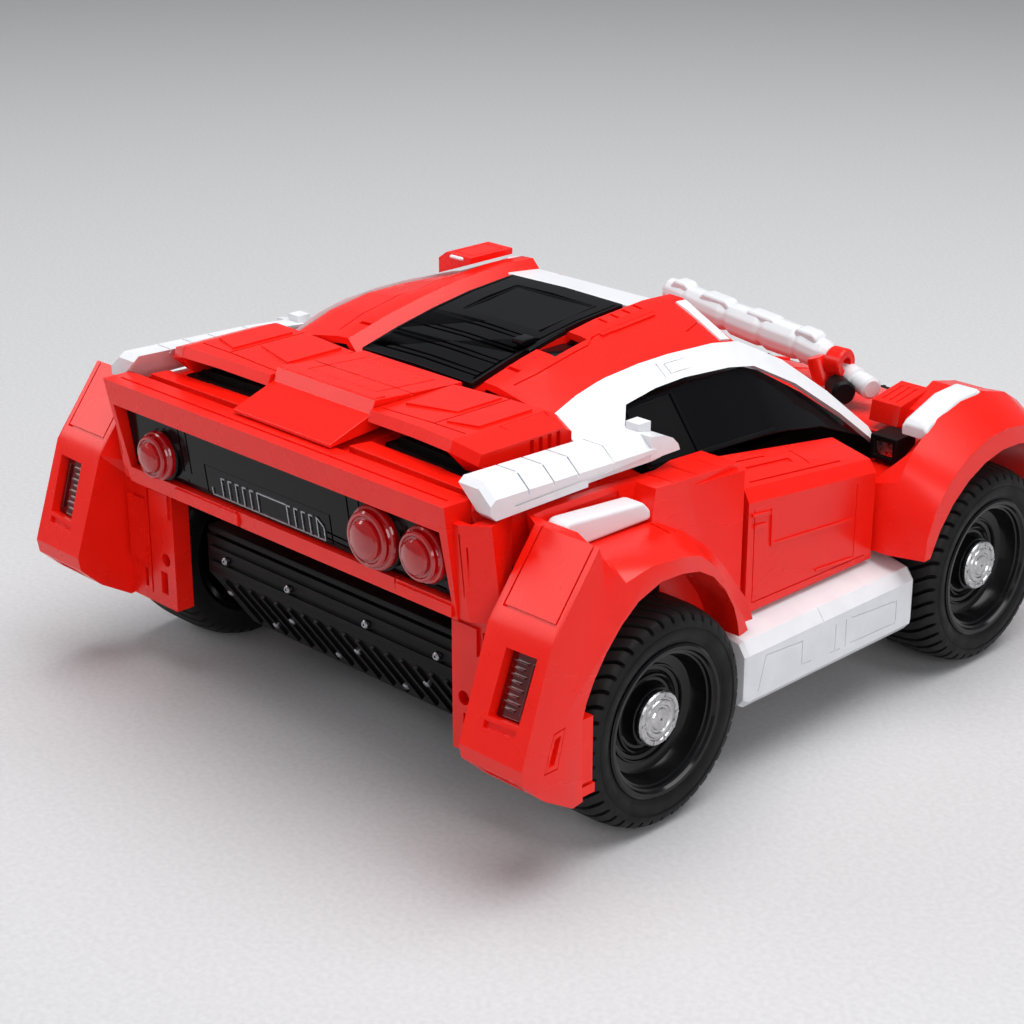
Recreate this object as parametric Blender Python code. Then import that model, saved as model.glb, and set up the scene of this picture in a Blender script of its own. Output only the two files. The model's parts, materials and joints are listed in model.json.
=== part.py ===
"""Remote control car: a transforming-style racer with separate shells and a working running gear.

Lengths are in millimetres and the mesh helper turns them into metres. The front of the car
faces -Y, its left side is +X and +Z is up. The origin is on the ground, halfway between the axles.
Sides are built by one function each, with side = -1 for the right and +1 for the left.
"""

from math import cos, pi, radians, sin

import bmesh
import bpy
from mathutils import Vector

MM = 0.001
GAP = 0.3                   # clearance between neighbouring pieces
SIDES = (("right", -1), ("left", 1))

# Running gear
WHEEL_RADIUS = 26.0
HALF_WHEELBASE = 61.0
WHEEL_MID = 71.5            # middle plane of each wheel
TYRE_HALF_WIDTH = 12.5
RIM_RADIUS = 17.3
BORE = 2.2
SHAFT = 1.9
AXLE_END = WHEEL_MID + 8.5
STEER_PIN = 52.0
STEER_ARM = 10.0            # the steering pins sit this far behind the kingpins
GEAR_TEETH = 30
PINION_TEETH = 10
MODULE = 0.7
GEAR_CENTRES = MODULE * (GEAR_TEETH + PINION_TEETH) / 2 + 0.3
MOTOR_Y = HALF_WHEELBASE - GEAR_CENTRES

# Chassis
TRAY_HALF = 46.0
TRAY_FRONT, TRAY_REAR = -94.0, 86.0
TRAY_FLOOR, TRAY_TOP = 12.0, 40.0
WALL = 2.0
HATCH_HALF, HATCH_END = 20.0, 32.0
SWITCH_X, SWITCH_Y, SWITCH_TRAVEL = 31.0, -43.0, 3.0

# Body
BODY_HALF = 62.0            # side wall of the rear body
TAIL_TOP, TAIL_FOOT = 81.0, 54.0
TAIL_FOOT_Y, TAIL_LEAN = 96.0, 0.13
DOOR_X = 74.0
DOOR_FRONT, DOOR_REAR = -24.0, 24.0
FRONT_ARCH_RADIUS = 33.5
HALF_LENGTH = 109.0
POD_IN, POD_OUT = 69.0, 87.0
SKIN = 1.8                  # thickness of the moulded shells


# ---------------------------------------------------------------- helpers

def clear_scene():
    for obj in list(bpy.data.objects):
        bpy.data.objects.remove(obj, do_unlink=True)


def material(name, colour, roughness, metallic=0.0):
    made = bpy.data.materials.new(name)
    made.use_nodes = True
    shader = made.node_tree.nodes["Principled BSDF"]
    shader.inputs["Base Color"].default_value = (*colour, 1.0)
    shader.inputs["Roughness"].default_value = roughness
    shader.inputs["Metallic"].default_value = metallic
    return made


def loft(name, rings, mat, closed=False, smooth=None, banded=False):
    """Join rings of equally many points (mm). The ends are capped unless the loft is closed; a banded cap
    is a row of quads, which suits an end that is bent or shaped like an arch."""
    bm = bmesh.new()
    rows = [[bm.verts.new(Vector(point) * MM) for point in ring] for ring in rings]
    pairs = list(zip(rows, rows[1:]))
    if closed:
        pairs.append((rows[-1], rows[0]))
    count = len(rows[0])
    for low, high in pairs:
        for i in range(count):
            j = (i + 1) % count
            bm.faces.new((low[i], low[j], high[j], high[i]))
    for row in [] if closed else (rows[0], rows[-1]):
        if banded:
            for i in range(count // 2 - 1):
                bm.faces.new((row[i], row[i + 1], row[count - 2 - i], row[count - 1 - i]))
        else:
            bm.faces.new(row)
    bmesh.ops.recalc_face_normals(bm, faces=bm.faces)
    mesh = bpy.data.meshes.new(name)
    bm.to_mesh(mesh)
    bm.free()
    if smooth:
        mesh.shade_smooth()
        mesh.set_sharp_from_angle(angle=radians(smooth))
    mesh.materials.append(mat)
    obj = bpy.data.objects.new(name, mesh)
    bpy.context.scene.collection.objects.link(obj)
    return obj


def box(name, low, high, mat):
    rings = []
    for z in (low[2], high[2]):
        rings.append([(low[0], low[1], z), (high[0], low[1], z), (high[0], high[1], z), (low[0], high[1], z)])
    return loft(name, rings, mat)


def slab(name, outline, axis, start, end, mat):
    """Extrude a flat outline along X, Y or Z; the outline gives the other two coordinates in order."""
    rings = []
    for level in (start, end):
        ring = []
        for a, b in outline:
            ring.append({"X": (level, a, b), "Y": (a, level, b), "Z": (a, b, level)}[axis])
        rings.append(ring)
    return loft(name, rings, mat)


def circle(centre, radius, sides, axis="X"):
    ring = []
    for i in range(sides):
        a = radius * cos(2 * pi * i / sides)
        b = radius * sin(2 * pi * i / sides)
        offset = {"X": (0, a, b), "Y": (a, 0, b), "Z": (a, b, 0)}[axis]
        ring.append(tuple(c + o for c, o in zip(centre, offset)))
    return ring


def rod(name, stations, mat, axis="X", sides=24):
    """A stepped round bar: stations are (centre, radius) along the axis."""
    rings = [circle(centre, radius, sides, axis) for centre, radius in stations]
    return loft(name, rings, mat, smooth=35)


def turned(name, centre, side, profile, mat, sides=36):
    """Spin a closed profile of (distance outward, radius) about an X axis through the centre."""
    rings = []
    for i in range(sides):
        angle = 2 * pi * i / sides
        ring = []
        for out, radius in profile:
            across, up = radius * cos(angle), radius * sin(angle)
            ring.append((centre[0] + side * out, centre[1] + across, centre[2] + up))
        rings.append(ring)
    return loft(name, rings, mat, closed=True, smooth=35)


def arc(y, z, radius, start, end, steps):
    points = []
    for i in range(steps + 1):
        angle = radians(start + (end - start) * i / steps)
        points.append((y + radius * cos(angle), z + radius * sin(angle)))
    return points


def combine(obj, tool, operation):
    """Cut or join with a helper solid, which is not a piece of the car."""
    tool.hide_render = True
    tool.display_type = "WIRE"
    step = obj.modifiers.new(operation.lower(), "BOOLEAN")
    step.operation = operation
    step.object = tool
    step.solver = "EXACT"


def cut_box(obj, low, high, mat):
    combine(obj, box("cutter", low, high, mat), "DIFFERENCE")


def add_box(obj, low, high, mat):
    combine(obj, box("addition", low, high, mat), "UNION")


def mirrored(points, side):
    return [(side * x, y, z) for x, y, z in points]


def sided(side, a, b):
    """Low and high X of a span given outward from the middle plane."""
    return (a, b) if side > 0 else (-b, -a)


def side_box(name, side, low, high, mat):
    x0, x1 = sided(side, low[0], high[0])
    return box(name, (x0, *low[1:]), (x1, *high[1:]), mat)


def shell(name, stations, thickness, mat, smooth=None):
    """A C-shaped moulding: each station is (y, [(x, z), ...]) for one half of the outer skin, from the
    middle to the edge. The inner skin lies below and inboard of it by the thickness."""
    rings = []
    for y, half in stations:
        outer = [(-x, z) for x, z in reversed(half)] + [(x, z) for x, z in half[1:]]
        inner = []
        for i, (x, z) in enumerate(outer):
            before = outer[max(i - 1, 0)]
            after = outer[min(i + 1, len(outer) - 1)]
            dx, dz = after[0] - before[0], after[1] - before[1]
            size = (dx * dx + dz * dz) ** 0.5
            inner.append((x + thickness * dz / size, z - thickness * dx / size))
        rings.append([(x, y, z) for x, z in outer + inner[::-1]])
    return loft(name, rings, mat, smooth=smooth)


# ---------------------------------------------------------------- wheels and drive

def wheel(corner, side, y, mats):
    centre = (side * WHEEL_MID, y, WHEEL_RADIUS)
    half, shoulder, seat = TYRE_HALF_WIDTH, WHEEL_RADIUS - 2.7, RIM_RADIUS + 0.3
    tyre = [(-half, seat + 1), (-half, shoulder), (-9.5, WHEEL_RADIUS), (9.5, WHEEL_RADIUS), (half, shoulder),
            (half, seat + 1), (11, seat), (-11, seat)]
    turned(f"tyre_{corner}", centre, side, tyre, mats["rubber"])
    rim = [(-12, RIM_RADIUS), (12, RIM_RADIUS), (12, 15.9), (7, 14.5), (6.3, 6.6), (8.4, 6), (8.4, BORE),
           (0.5, BORE), (0.5, 5), (4, 6.6), (4.6, 13.6), (-12, 15.8)]
    turned(f"rim_{corner}", centre, side, rim, mats["rim"])
    face = WHEEL_MID + 8.7
    stations = [(face, 6.4), (face + 1.1, 6.4), (face + 1.7, 5.4)]
    rod(f"hub_cap_{corner}", [((side * x, y, WHEEL_RADIUS), r) for x, r in stations], mats["chrome"])


def gear(name, y, teeth, width, bore, phase, mat):
    """A spur gear about the X axis; its teeth are trapezoids with plenty of backlash."""
    pitch = MODULE * teeth / 2
    tip, root = pitch + 0.75 * MODULE, pitch - 1.1 * MODULE
    step = 2 * pi / teeth
    rings = []
    for x in width:
        ring = []
        for i in range(teeth):
            for share, radius in ((-0.27, root), (-0.12, tip), (0.12, tip), (0.27, root)):
                angle = phase + (i + share) * step
                ring.append((x, y + radius * cos(angle), WHEEL_RADIUS + radius * sin(angle)))
        rings.append(ring)
    made = loft(name, rings, mat)
    hole = [((width[0] - 1, y, WHEEL_RADIUS), bore), ((width[1] + 1, y, WHEEL_RADIUS), bore)]
    combine(made, rod("cutter", hole, mat), "DIFFERENCE")


def drive(mats):
    ends = [-AXLE_END, AXLE_END]
    rod("rear_axle", [((x, HALF_WHEELBASE, WHEEL_RADIUS), SHAFT) for x in ends], mats["steel"], sides=16)
    width = (12.0, 16.0)
    gear("drive_gear", HALF_WHEELBASE, GEAR_TEETH, width, BORE, pi / GEAR_TEETH, mats["nylon"])
    gear("motor_pinion", MOTOR_Y, PINION_TEETH, width, 1.3, 0.0, mats["steel"])
    can = [(-17, 3), (-16, 8), (8, 8), (9.5, 7), (9.5, 1), (17, 1)]
    rod("drive_motor", [((x, MOTOR_Y, WHEEL_RADIUS), r) for x, r in can], mats["steel"])


def steering(mats):
    front = -HALF_WHEELBASE
    pin_y = front + STEER_ARM
    box("steering_servo", (-10, front - 19, 15), (10, front + 2, 28.5), mats["black"])
    horn = rod("servo_horn", [((0, front, 28.8), 3), ((0, front, 35.5), 3)], mats["nylon"], "Z", 16)
    add_box(horn, (-2, front, 33), (2, pin_y + 2, 35.5), mats["nylon"])
    pin = [((0, pin_y, 28.6), 1.2), ((0, pin_y, 33.5), 1.2)]
    combine(horn, rod("addition", pin, mats["nylon"], "Z", 12), "UNION")
    outline = [(-55.7, -42), (55.7, -42)]
    for middle in (STEER_PIN, 0, -STEER_PIN):
        prongs = [(3.7, -57.5), (2.1, -57.5), (2.1, -45), (-2.1, -45), (-2.1, -57.5), (-3.7, -57.5)]
        outline += [(middle + x, y) for x, y in prongs]
        if middle > -STEER_PIN:
            outline += [(middle - 3.7, -45), (middle - STEER_PIN + 3.7, -45)]
    slab("tie_rod", outline, "Z", 29.5, 32.5, mats["black"])
    for corner, side in SIDES:
        carrier = [(46.3, 13), (71, 13), (71, 15.8), (48.5, 15.8), (48.5, 36.2), (71, 36.2), (71, 39),
                   (46.3, 39)]
        outline = [(side * x, z) for x, z in carrier]
        slab(f"hub_carrier_{corner}", outline, "Y", front - 3.5, front + 2.5, mats["black"])
        post = ((65.6, front - 2.4, 16.1), (70.4, front + 2.4, 35.9))
        knuckle = side_box(f"knuckle_{corner}", side, *post, mats["black"])
        x0, x1 = sided(side, 50.2, 66.5)
        add_box(knuckle, (x0, front - 2, 24), (x1, front + 2, 28), mats["black"])
        x0, x1 = sided(side, 50.2, 53.8)
        add_box(knuckle, (x0, front - 1, 24), (x1, pin_y + 2, 28), mats["black"])
        stub = [((side * x, front, WHEEL_RADIUS), SHAFT) for x in (69, AXLE_END)]
        combine(knuckle, rod("addition", stub, mats["steel"], sides=16), "UNION")
        pin = [((side * STEER_PIN, pin_y, z), 1.2) for z in (27, 33.5)]
        combine(knuckle, rod("addition", pin, mats["steel"], "Z", 12), "UNION")


# ---------------------------------------------------------------- chassis

def chassis(mats):
    black = mats["black"]
    hull = [(TRAY_FRONT, TRAY_TOP), (TRAY_FRONT, 18), (TRAY_FRONT + 8, TRAY_FLOOR),
            (TRAY_REAR - 13, TRAY_FLOOR), (TRAY_REAR, 30), (TRAY_REAR, TRAY_TOP)]
    tray = slab("chassis_tray", hull, "X", -TRAY_HALF, TRAY_HALF, black)
    inner = TRAY_HALF - WALL
    floor = TRAY_FLOOR + WALL
    hollow = [(TRAY_FRONT + WALL, TRAY_TOP + 1), (TRAY_FRONT + WALL, 19), (TRAY_FRONT + 9, floor),
              (TRAY_REAR - 14, floor), (TRAY_REAR - WALL, 31), (TRAY_REAR - WALL, TRAY_TOP + 1)]
    combine(tray, slab("cutter", hollow, "X", -inner, inner, black), "DIFFERENCE")
    rebate = HATCH_HALF + GAP
    cut_box(tray, (-rebate, -HATCH_END - GAP, TRAY_FLOOR - 1), (rebate, HATCH_END + GAP, floor + 1), black)
    cut_box(tray, (-60, -59, 27.5), (60, -39, TRAY_TOP + 1), black)
    slot_end = SWITCH_Y + SWITCH_TRAVEL + 5.5
    cut_box(tray, (SWITCH_X - 3, SWITCH_Y - 2.5, TRAY_FLOOR - 1), (SWITCH_X + 3, slot_end, floor + 1), black)
    bearing = [((x, HALF_WHEELBASE, WHEEL_RADIUS), BORE) for x in (-60, 60)]
    combine(tray, rod("cutter", bearing, black), "DIFFERENCE")
    lid = ((-HATCH_HALF, -HATCH_END, TRAY_FLOOR + 0.1), (HATCH_HALF, HATCH_END, TRAY_FLOOR + 1.7))
    box("battery_cover", *lid, black)
    box("battery_pack", (-18, -30, 14.6), (18, 30, 31), mats["cell"])
    box("circuit_board", (-24, -28, 33), (24, 28, 34.6), mats["board"])
    stem = ((SWITCH_X - 2, SWITCH_Y - 2, TRAY_FLOOR + GAP), (SWITCH_X + 2, SWITCH_Y + 2, 14.3))
    slider = box("power_switch", *stem, black)
    add_box(slider, (SWITCH_X - 4, SWITCH_Y - 3, 14.3), (SWITCH_X + 4, SWITCH_Y + 3, 16), black)
    profile = [(-93.5, 42.5), (-41, 42.5), (-38, 56), (38, 56), (41, 42.5), (TRAY_REAR, 42.5)]
    stations = []
    for y, top in profile:
        stations.append((y, [(0, top), (36, top), (40, 42.5), (45.5, 42.5)]))
    shell("chassis_cover", stations, SKIN, black)


# ---------------------------------------------------------------- body shells

def rear_body(mats):
    """The tail: a top skin with side walls that stop above the wheel arches."""
    stations = []
    for y, top, low in ((95.4, 79.9, 54), (93, 80, 54), (90, 80.2, 58), (87, 80.4, 63.5), (60, 81, 63.5),
                        (58.5, 74, 63.5), (41, 73.5, 63.5)):
        half = [(0, top), (40, top - 0.3), (58, top - 2.5), (BODY_HALF, top - 7), (BODY_HALF, low)]
        stations.append((y, half))
    shell("rear_body", stations, SKIN, mats["red"])


def tail_plane(z):
    """Y of the tail's rear plane, which leans forward towards its foot."""
    return TAIL_FOOT_Y + (z - TAIL_FOOT) * TAIL_LEAN


def tail(mats):
    """Bumper frame around the lamp panel with wings round the corners, and the lamps on the panel."""
    rings = []
    for x, z, inner_x, inner_z in ((59.5, TAIL_TOP, 57.2, 74.8), (58, TAIL_FOOT, 56.8, TAIL_FOOT + 4)):
        for sign in (1, -1) if z == TAIL_TOP else (-1, 1):
            back, front = tail_plane(z), tail_plane(inner_z)
            proud, deep = (4.5, 3.4) if z == TAIL_TOP else (3, 0)
            rings.append([(sign * x, back + proud, z), (sign * inner_x, front + proud, inner_z),
                          (sign * inner_x, front, inner_z), (sign * x, back - deep, z)])
    bumper = loft("rear_bumper", rings, mats["red"], closed=True)
    for _, side in SIDES:
        rings = []
        for z in (TAIL_FOOT + 0.4, 77):
            y = tail_plane(z)
            wing = [(57.5, y + 0.4), (57.5, y + 2.6), (61, y + 2.4), (66.6, y - 1.6), (64.8, 92), (63, 88),
                    (62.6, 88), (62.6, y + 0.4)]
            rings.append([(side * x, depth, z) for x, depth in wing])
        combine(bumper, loft("addition", rings, mats["red"]), "UNION")
    panel = []
    for z, half in ((TAIL_FOOT + 4.4, 56.3), (74.4, 56.7)):
        y = tail_plane(z)
        panel.append([(-half, y - 0.6, z), (half, y - 0.6, z), (half, y + 1.4, z), (-half, y + 1.4, z)])
    loft("tail_panel", panel, mats["gloss"])
    lamps = (("left", 44.3, 64.4, 6.0), ("right_inner", -33.6, 66.1, 7.3), ("right_outer", -49.7, 67, 6.4))
    for place, x, z, radius in lamps:
        y = tail_plane(z) + 2.6
        dome = [(y, radius), (y + 2.2, radius), (y + 3.8, radius * 0.82), (y + 4.4, radius * 0.4)]
        rod(f"tail_light_{place}", [((x, d, z), r) for d, r in dome], mats["lens"], "Y")


def deck(mats):
    outline = [(58.5, 84.5), (58.5, 87.4), (84.8, 89.2), (86.2, 86.2), (98, 82.2), (98, 81.4), (84, 82.6),
               (70, 84)]
    slab("rear_deck", outline, "X", -17, 17, mats["red"])
    for corner, side in SIDES:
        rings = []
        for x, front, rear, top, low in ((17.4, 58.5, 86.5, 87.6, 84.4), (34, 58.5, 88, 88.4, 84.4),
                                         (46, 58.5, 89.2, 88.6, 84.4), (47, 58.5, 89, 88.4, 81.2),
                                         (53, 60, 87, 86.5, 80.4)):
            rings.append([(side * x, front, low), (side * x, front, top - 1.5), (side * x, front + 3, top),
                          (side * x, rear, top), (side * x, rear + 1, top - 2.5), (side * x, rear - 3, low)])
        loft(f"deck_wing_{corner}", rings, mats["red"])


def roof(mats):
    stations = []
    for y, mid, edge in ((57.8, 85.2, 85.4), (46, 88.2, 89.2), (34, 90.6, 91.1), (22, 92.4, 91.3),
                         (5, 93.6, 90.6), (-5, 93.2, 89.2)):
        stations.append((y, [(0, mid), (20, mid), (23.5, mid + 3.6), (27.5, mid + 3.4), (44, edge)]))
    shell("roof_shell", stations, SKIN, mats["red"], smooth=40)
    stations = []
    for y, top in ((57.4, 87.4), (46, 90.3), (34, 92.7), (22, 94.5), (7, 95.7)):
        under = top - 1.5
        stations.append([(-19, y, top), (0, y, top + 0.4), (19, y, top), (19, y, under), (-19, y, under)])
    loft("rear_louvre", stations, mats["gloss"], smooth=40)
    scoop = [(30, 96.9), (30, 98.5), (39, 98.5), (42, 96.5), (42, 92.4)]
    slab("roof_scoop", scoop, "Y", -4, 11, mats["red"])


def side_frame(corner, side, mats):
    """White frame along the roof edge and down the windscreen pillar."""
    path = [(57.4, 44.7, 86.0, 54.6, 79.0), (50, 44.7, 88.8, 54.2, 80.6), (43.5, 44.7, 90.3, 53.6, 82.2),
            (40.5, 44.7, 90.8, 51.0, 85.9), (30, 44.7, 91.6, 50.4, 87.2), (20, 44.7, 91.7, 50.2, 87.4),
            (4, 44.7, 90.9, 50.2, 86.2), (-5, 45.2, 89.6, 50.4, 84.6), (-18, 48.4, 82.8, 53.0, 77.8),
            (-30, 53.4, 73.2, 57.6, 68.6), (-41, 58.4, 62.6, 62.0, 58.6)]
    rings = []
    for y, x, top, foot_x, foot in path:
        ring = [(x, y, top), (foot_x, y, foot), (foot_x - SKIN, y, foot - 0.5), (x, y, top - SKIN)]
        rings.append(mirrored(ring, side))
    loft(f"side_frame_{corner}", rings, mats["white"])


def glass(mats):
    """One dark moulding for the side windows and the windscreen."""
    stations = []
    for y, top, edge_x, edge, low in ((40, 85.4, 49.3, 84.9, 72), (20, 87.4, 49.3, 85.4, 71.2),
                                      (-2, 89.6, 48.8, 84.6, 70.2), (-8, 88.4, 49.2, 82.6, 69.6),
                                      (-22, 79.2, 51.4, 74.4, 67.2), (-40, 63, 56.2, 61.5, 60),
                                      (-44, 60.4, 57, 59.8, 59)):
        stations.append((y, [(0, top), (edge_x, edge), (58.5, low)]))
    shell("cabin_glass", stations, 1.2, mats["gloss"])


def door(corner, side, mats):
    rings = []
    for end, lean in ((DOOR_FRONT + GAP, 0), (DOOR_REAR, 0.16)):
        drop = 5 if end < 0 else 0
        ring = []
        for x, z in ((DOOR_X, 36.8), (DOOR_X, 64 - drop), (72, 67 - drop), (60.5, 71 - 1.3 * drop),
                     (60, 69.2 - 1.3 * drop), (70.8, 65.2 - drop), (71.8, 62.5 - drop), (71.8, 36.8)):
            ring.append((side * x, end - (DOOR_X - x) * lean, z))
        rings.append(ring)
    loft(f"door_{corner}", rings, mats["red"])


def skirt(corner, side, mats):
    section = [(67, 21), (70, 17.6), (80, 17.6), (81.6, 19.5), (81.6, 31), (79.5, 34), (70, 36.2), (67, 36.2)]
    rings = []
    for y, shrink in ((-32.2, 0.08), (-31, 0), (30.8, 0), (32, 0.08)):
        rings.append([(side * (x + (74 - x) * shrink), y, z + (27 - z) * shrink) for x, z in section])
    loft(f"side_skirt_{corner}", rings, mats["white"])


def rear_fender(corner, side, mats):
    """Wheel arch, quarter panel and tail pod in one moulding. The pod stands over the fender's top, and a
    shelf inboard of the arch carries a white block."""
    arch = [(35.5, 37.6), (36.5, 41.5), (38.5, 46), (42.5, 51.5), (48, 56.6), (54, 60), (61, 62), (68, 62.3),
            (75, 60), (80, 56.3), (84.5, 51.5), (88, 46.5), (90.3, 42), (91.5, 38), (91.5, 28), (91, 19.5)]
    pod = [(94, 19), (102.5, 24), (108.4, 29.5), (HALF_LENGTH, 33), (100.5, 58), (87, 75.5)]
    quarter = [(53, 74.8), (44, 74.4), (36, 74), (25.4, 73.6), (24.9, 56), (24.6, 37.6)]
    inner = pod + [(84, 75.6), (80, 75.8), (62, 75.4), (55, 75)] + quarter
    shelf = pod + [(84, 75.4), (80, 68.2), (62, 67.9), (55, 67.7)] + quarter
    top = shelf[:10] + [(51, 66.2), (44, 61.2), (37, 54), (31, 46.5), (27.6, 42), (26, 37.6)]
    edge = pod + [(84, 72.5), (79, 68), (70, 67.9), (61, 67.2), (54, 65.2), (47, 60.5), (41, 53.5),
                  (36, 46.5), (32.5, 42), (30.5, 37.6)]
    face = pod + [(84.5, 63.6), (79, 65.4), (71, 66.8), (61, 65.8), (54, 63.6), (47.5, 59), (42, 52.5),
                  (37.5, 46), (34, 42), (31.5, 37.6)]
    rings = []
    for x, outer in ((POD_IN - 6, inner), (65.2, inner), (65.8, shelf), (71.6, shelf), (72.3, top), (78, top),
                     (83.5, edge), (POD_OUT, face)):
        ring = []
        for y, z in outer + arch:
            out = x
            if x > 79:
                out -= max(0, 62 - y) * 0.19
            elif x < POD_IN and y > 85:
                out = POD_IN + (x - POD_IN) / 20
            elif x < 65 and y < 40.5 and z > 60:
                out = 60.5
            ring.append((side * out, y, z))
        rings.append(ring)
    fender = loft(f"rear_fender_{corner}", rings, mats["red"], banded=True)
    low, high = sorted((side * 50, side * (POD_IN + 4)))
    add_box(fender, (low, 88.3, 19.6), (high, 93.3, 53.4), mats["red"])


def front_fender(corner, side, mats):
    """Wheel arch and flare; its inner part is low behind the wheel, where the mirror stands."""
    arch = arc(-HALF_WHEELBASE, WHEEL_RADIUS, FRONT_ARCH_RADIUS, 160, 22, 11)
    cowl = [(-24.6, 38.4), (-24.8, 50), (-25.2, 55), (-34, 55.4), (-44.8, 56), (-51, 66), (-62, 70.6),
            (-72, 68.4), (-80, 64), (-88, 57.5), (-93, 50), (-96, 38)]
    top = [(-24.6, 38.4), (-25.4, 48), (-27, 56.5), (-33, 63.5), (-42, 69.2), (-51, 71.6), (-61, 71.8),
           (-71, 69.2), (-80, 64.5), (-88, 58), (-93, 50), (-96, 38)]
    face = [(-27.6, 38.4), (-28.2, 44), (-31, 50.5), (-36, 56.6), (-43, 61.2), (-51, 64), (-59, 64.8),
            (-68, 63.6), (-77, 60), (-85, 53.5), (-90, 46), (-92.5, 38)]
    rings = []
    for x, outer in ((62.3, cowl), (71, cowl), (78, top), (POD_OUT, face)):
        ring = []
        for y, z in outer + arch:
            taper = max(0, -y - 70) * 0.2 if x > 75 else 0
            ring.append((side * (x - taper), y, z))
        rings.append(ring)
    loft(f"front_fender_{corner}", rings, mats["red"], banded=True)


def strut(corner, side, mats):
    rings = []
    for y, top, low, x in ((97, 84, 79, 61), (95.5, 85.2, 77.6, 61), (60, 84, 77.6, 60.6),
                           (46, 83.2, 77.4, 59.6), (42, 82, 77.8, 59)):
        ring = [(x - 4.5, y, top), (x + 1.5, y, top), (x + 5, y, top - 3), (x + 5, y, low), (x + 1, y, low)]
        rings.append(mirrored(ring, side))
    loft(f"shoulder_strut_{corner}", rings, mats["white"])


def nose(mats):
    stations = []
    for y, mid, edge, low in ((-46, 63, 59, 57.5), (-60, 62, 60, 56), (-80, 57, 55.5, 50),
                              (-99.2, 50.4, 49, 43)):
        stations.append((y, [(0, mid + 1), (20, mid), (38, edge), (61, edge + 1), (61.6, low)]))
    shell("hood", stations, SKIN, mats["red"], smooth=30)
    rings = []
    for x in (-80, -66, -40, 0, 40, 66, 80):
        y = x * x / 900 - HALF_LENGTH
        rings.append([(x, y, 22), (x, y, 36), (x, y + 3, 44), (x, y + 5, 45), (x, y + 5, 42), (x, y + 3, 37),
                      (x, y + 3, 26), (x, y + 5, 20), (x, y + 2, 18)])
    loft("front_bumper", rings, mats["red"])
    for corner, side in SIDES:
        side_box(f"mirror_{corner}", side, (62.6, -44.4, 56.6), (70.6, -36.4, 63), mats["black"])
    arm = [(-48, -55.5, 66.5, 2.6), (-40, -60, 67, 3.4), (-30, -62.5, 69, 4), (-17, -65, 70, 4.4),
           (4, -69, 70, 4.4), (20, -72.5, 70, 4.6), (38, -78.5, 70, 4.2), (43, -79.5, 70, 2.6)]
    loft("cowl_arm", [circle((x, y, z), size, 10) for x, y, z, size in arm], mats["white"], smooth=40)


def main():
    clear_scene()
    mats = {
        "red": material("red_plastic", (0.78, 0.02, 0.012), 0.3),
        "white": material("white_plastic", (0.86, 0.86, 0.87), 0.35),
        "black": material("black_plastic", (0.02, 0.02, 0.022), 0.5),
        "gloss": material("gloss_black", (0.01, 0.01, 0.012), 0.15),
        "rubber": material("tyre_rubber", (0.02, 0.02, 0.02), 0.7),
        "rim": material("rim_plastic", (0.012, 0.012, 0.013), 0.25),
        "chrome": material("chrome", (0.75, 0.75, 0.76), 0.25, 1.0),
        "steel": material("steel", (0.6, 0.6, 0.62), 0.35, 1.0),
        "nylon": material("nylon", (0.85, 0.83, 0.78), 0.5),
        "lens": material("lamp_lens", (0.5, 0.01, 0.015), 0.1),
        "cell": material("battery_wrap", (0.05, 0.15, 0.4), 0.4),
        "board": material("circuit_green", (0.02, 0.2, 0.07), 0.5),
    }
    for end, y in (("front", -HALF_WHEELBASE), ("rear", HALF_WHEELBASE)):
        for corner, side in SIDES:
            wheel(f"{end}_{corner}", side, y, mats)
    drive(mats)
    steering(mats)
    chassis(mats)
    rear_body(mats)
    tail(mats)
    deck(mats)
    roof(mats)
    glass(mats)
    nose(mats)
    for build in (side_frame, door, skirt, rear_fender, front_fender, strut):
        for corner, side in SIDES:
            build(corner, side, mats)


main()
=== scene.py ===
"""Looks of the remote control car: moulded shells, treaded tyres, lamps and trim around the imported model.

Lengths are millimetres, except on the stage, which is in metres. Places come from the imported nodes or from
the same driving dimensions as the model: front -Y, left +X, up +Z, origin on the ground.
"""

import json
from math import cos, pi, radians, sin

import bmesh
import bpy
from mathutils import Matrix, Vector
from mathutils.bvhtree import BVHTree


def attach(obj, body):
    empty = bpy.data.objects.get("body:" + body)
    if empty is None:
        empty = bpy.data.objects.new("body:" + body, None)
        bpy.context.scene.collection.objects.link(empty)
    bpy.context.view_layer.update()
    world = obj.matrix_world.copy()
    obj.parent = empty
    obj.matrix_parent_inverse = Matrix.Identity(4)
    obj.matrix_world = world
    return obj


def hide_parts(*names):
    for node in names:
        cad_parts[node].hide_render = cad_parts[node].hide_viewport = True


MM = 0.001
SIDES = (("right", -1), ("left", 1))
CORNERS = [(f"{end}_{side}", sign) for end in ("front", "rear") for side, sign in SIDES]
UP, DOWN, BACKWARD, FORWARD = (0, 0, 1), (0, 0, -1), (0, 1, 0), (0, -1, 0)

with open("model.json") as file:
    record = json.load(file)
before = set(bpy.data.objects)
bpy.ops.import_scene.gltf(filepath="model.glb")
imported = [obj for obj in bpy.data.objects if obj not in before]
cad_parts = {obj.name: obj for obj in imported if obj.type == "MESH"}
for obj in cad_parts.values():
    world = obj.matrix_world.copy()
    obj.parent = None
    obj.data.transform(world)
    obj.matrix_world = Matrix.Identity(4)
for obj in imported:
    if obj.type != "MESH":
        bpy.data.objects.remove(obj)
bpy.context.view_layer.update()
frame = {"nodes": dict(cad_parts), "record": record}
BODY_OF = {node: body for body, nodes in frame["record"]["behaviour"]["bodies"].items() for node in nodes}
SLOT_OF = {part["node"]: part["material_slot"] for part in frame["record"]["subparts"]}


# -------------------------------- materials

RUBBED_SHARE = 0.15                      # the most that a rubbed edge pales


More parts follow.
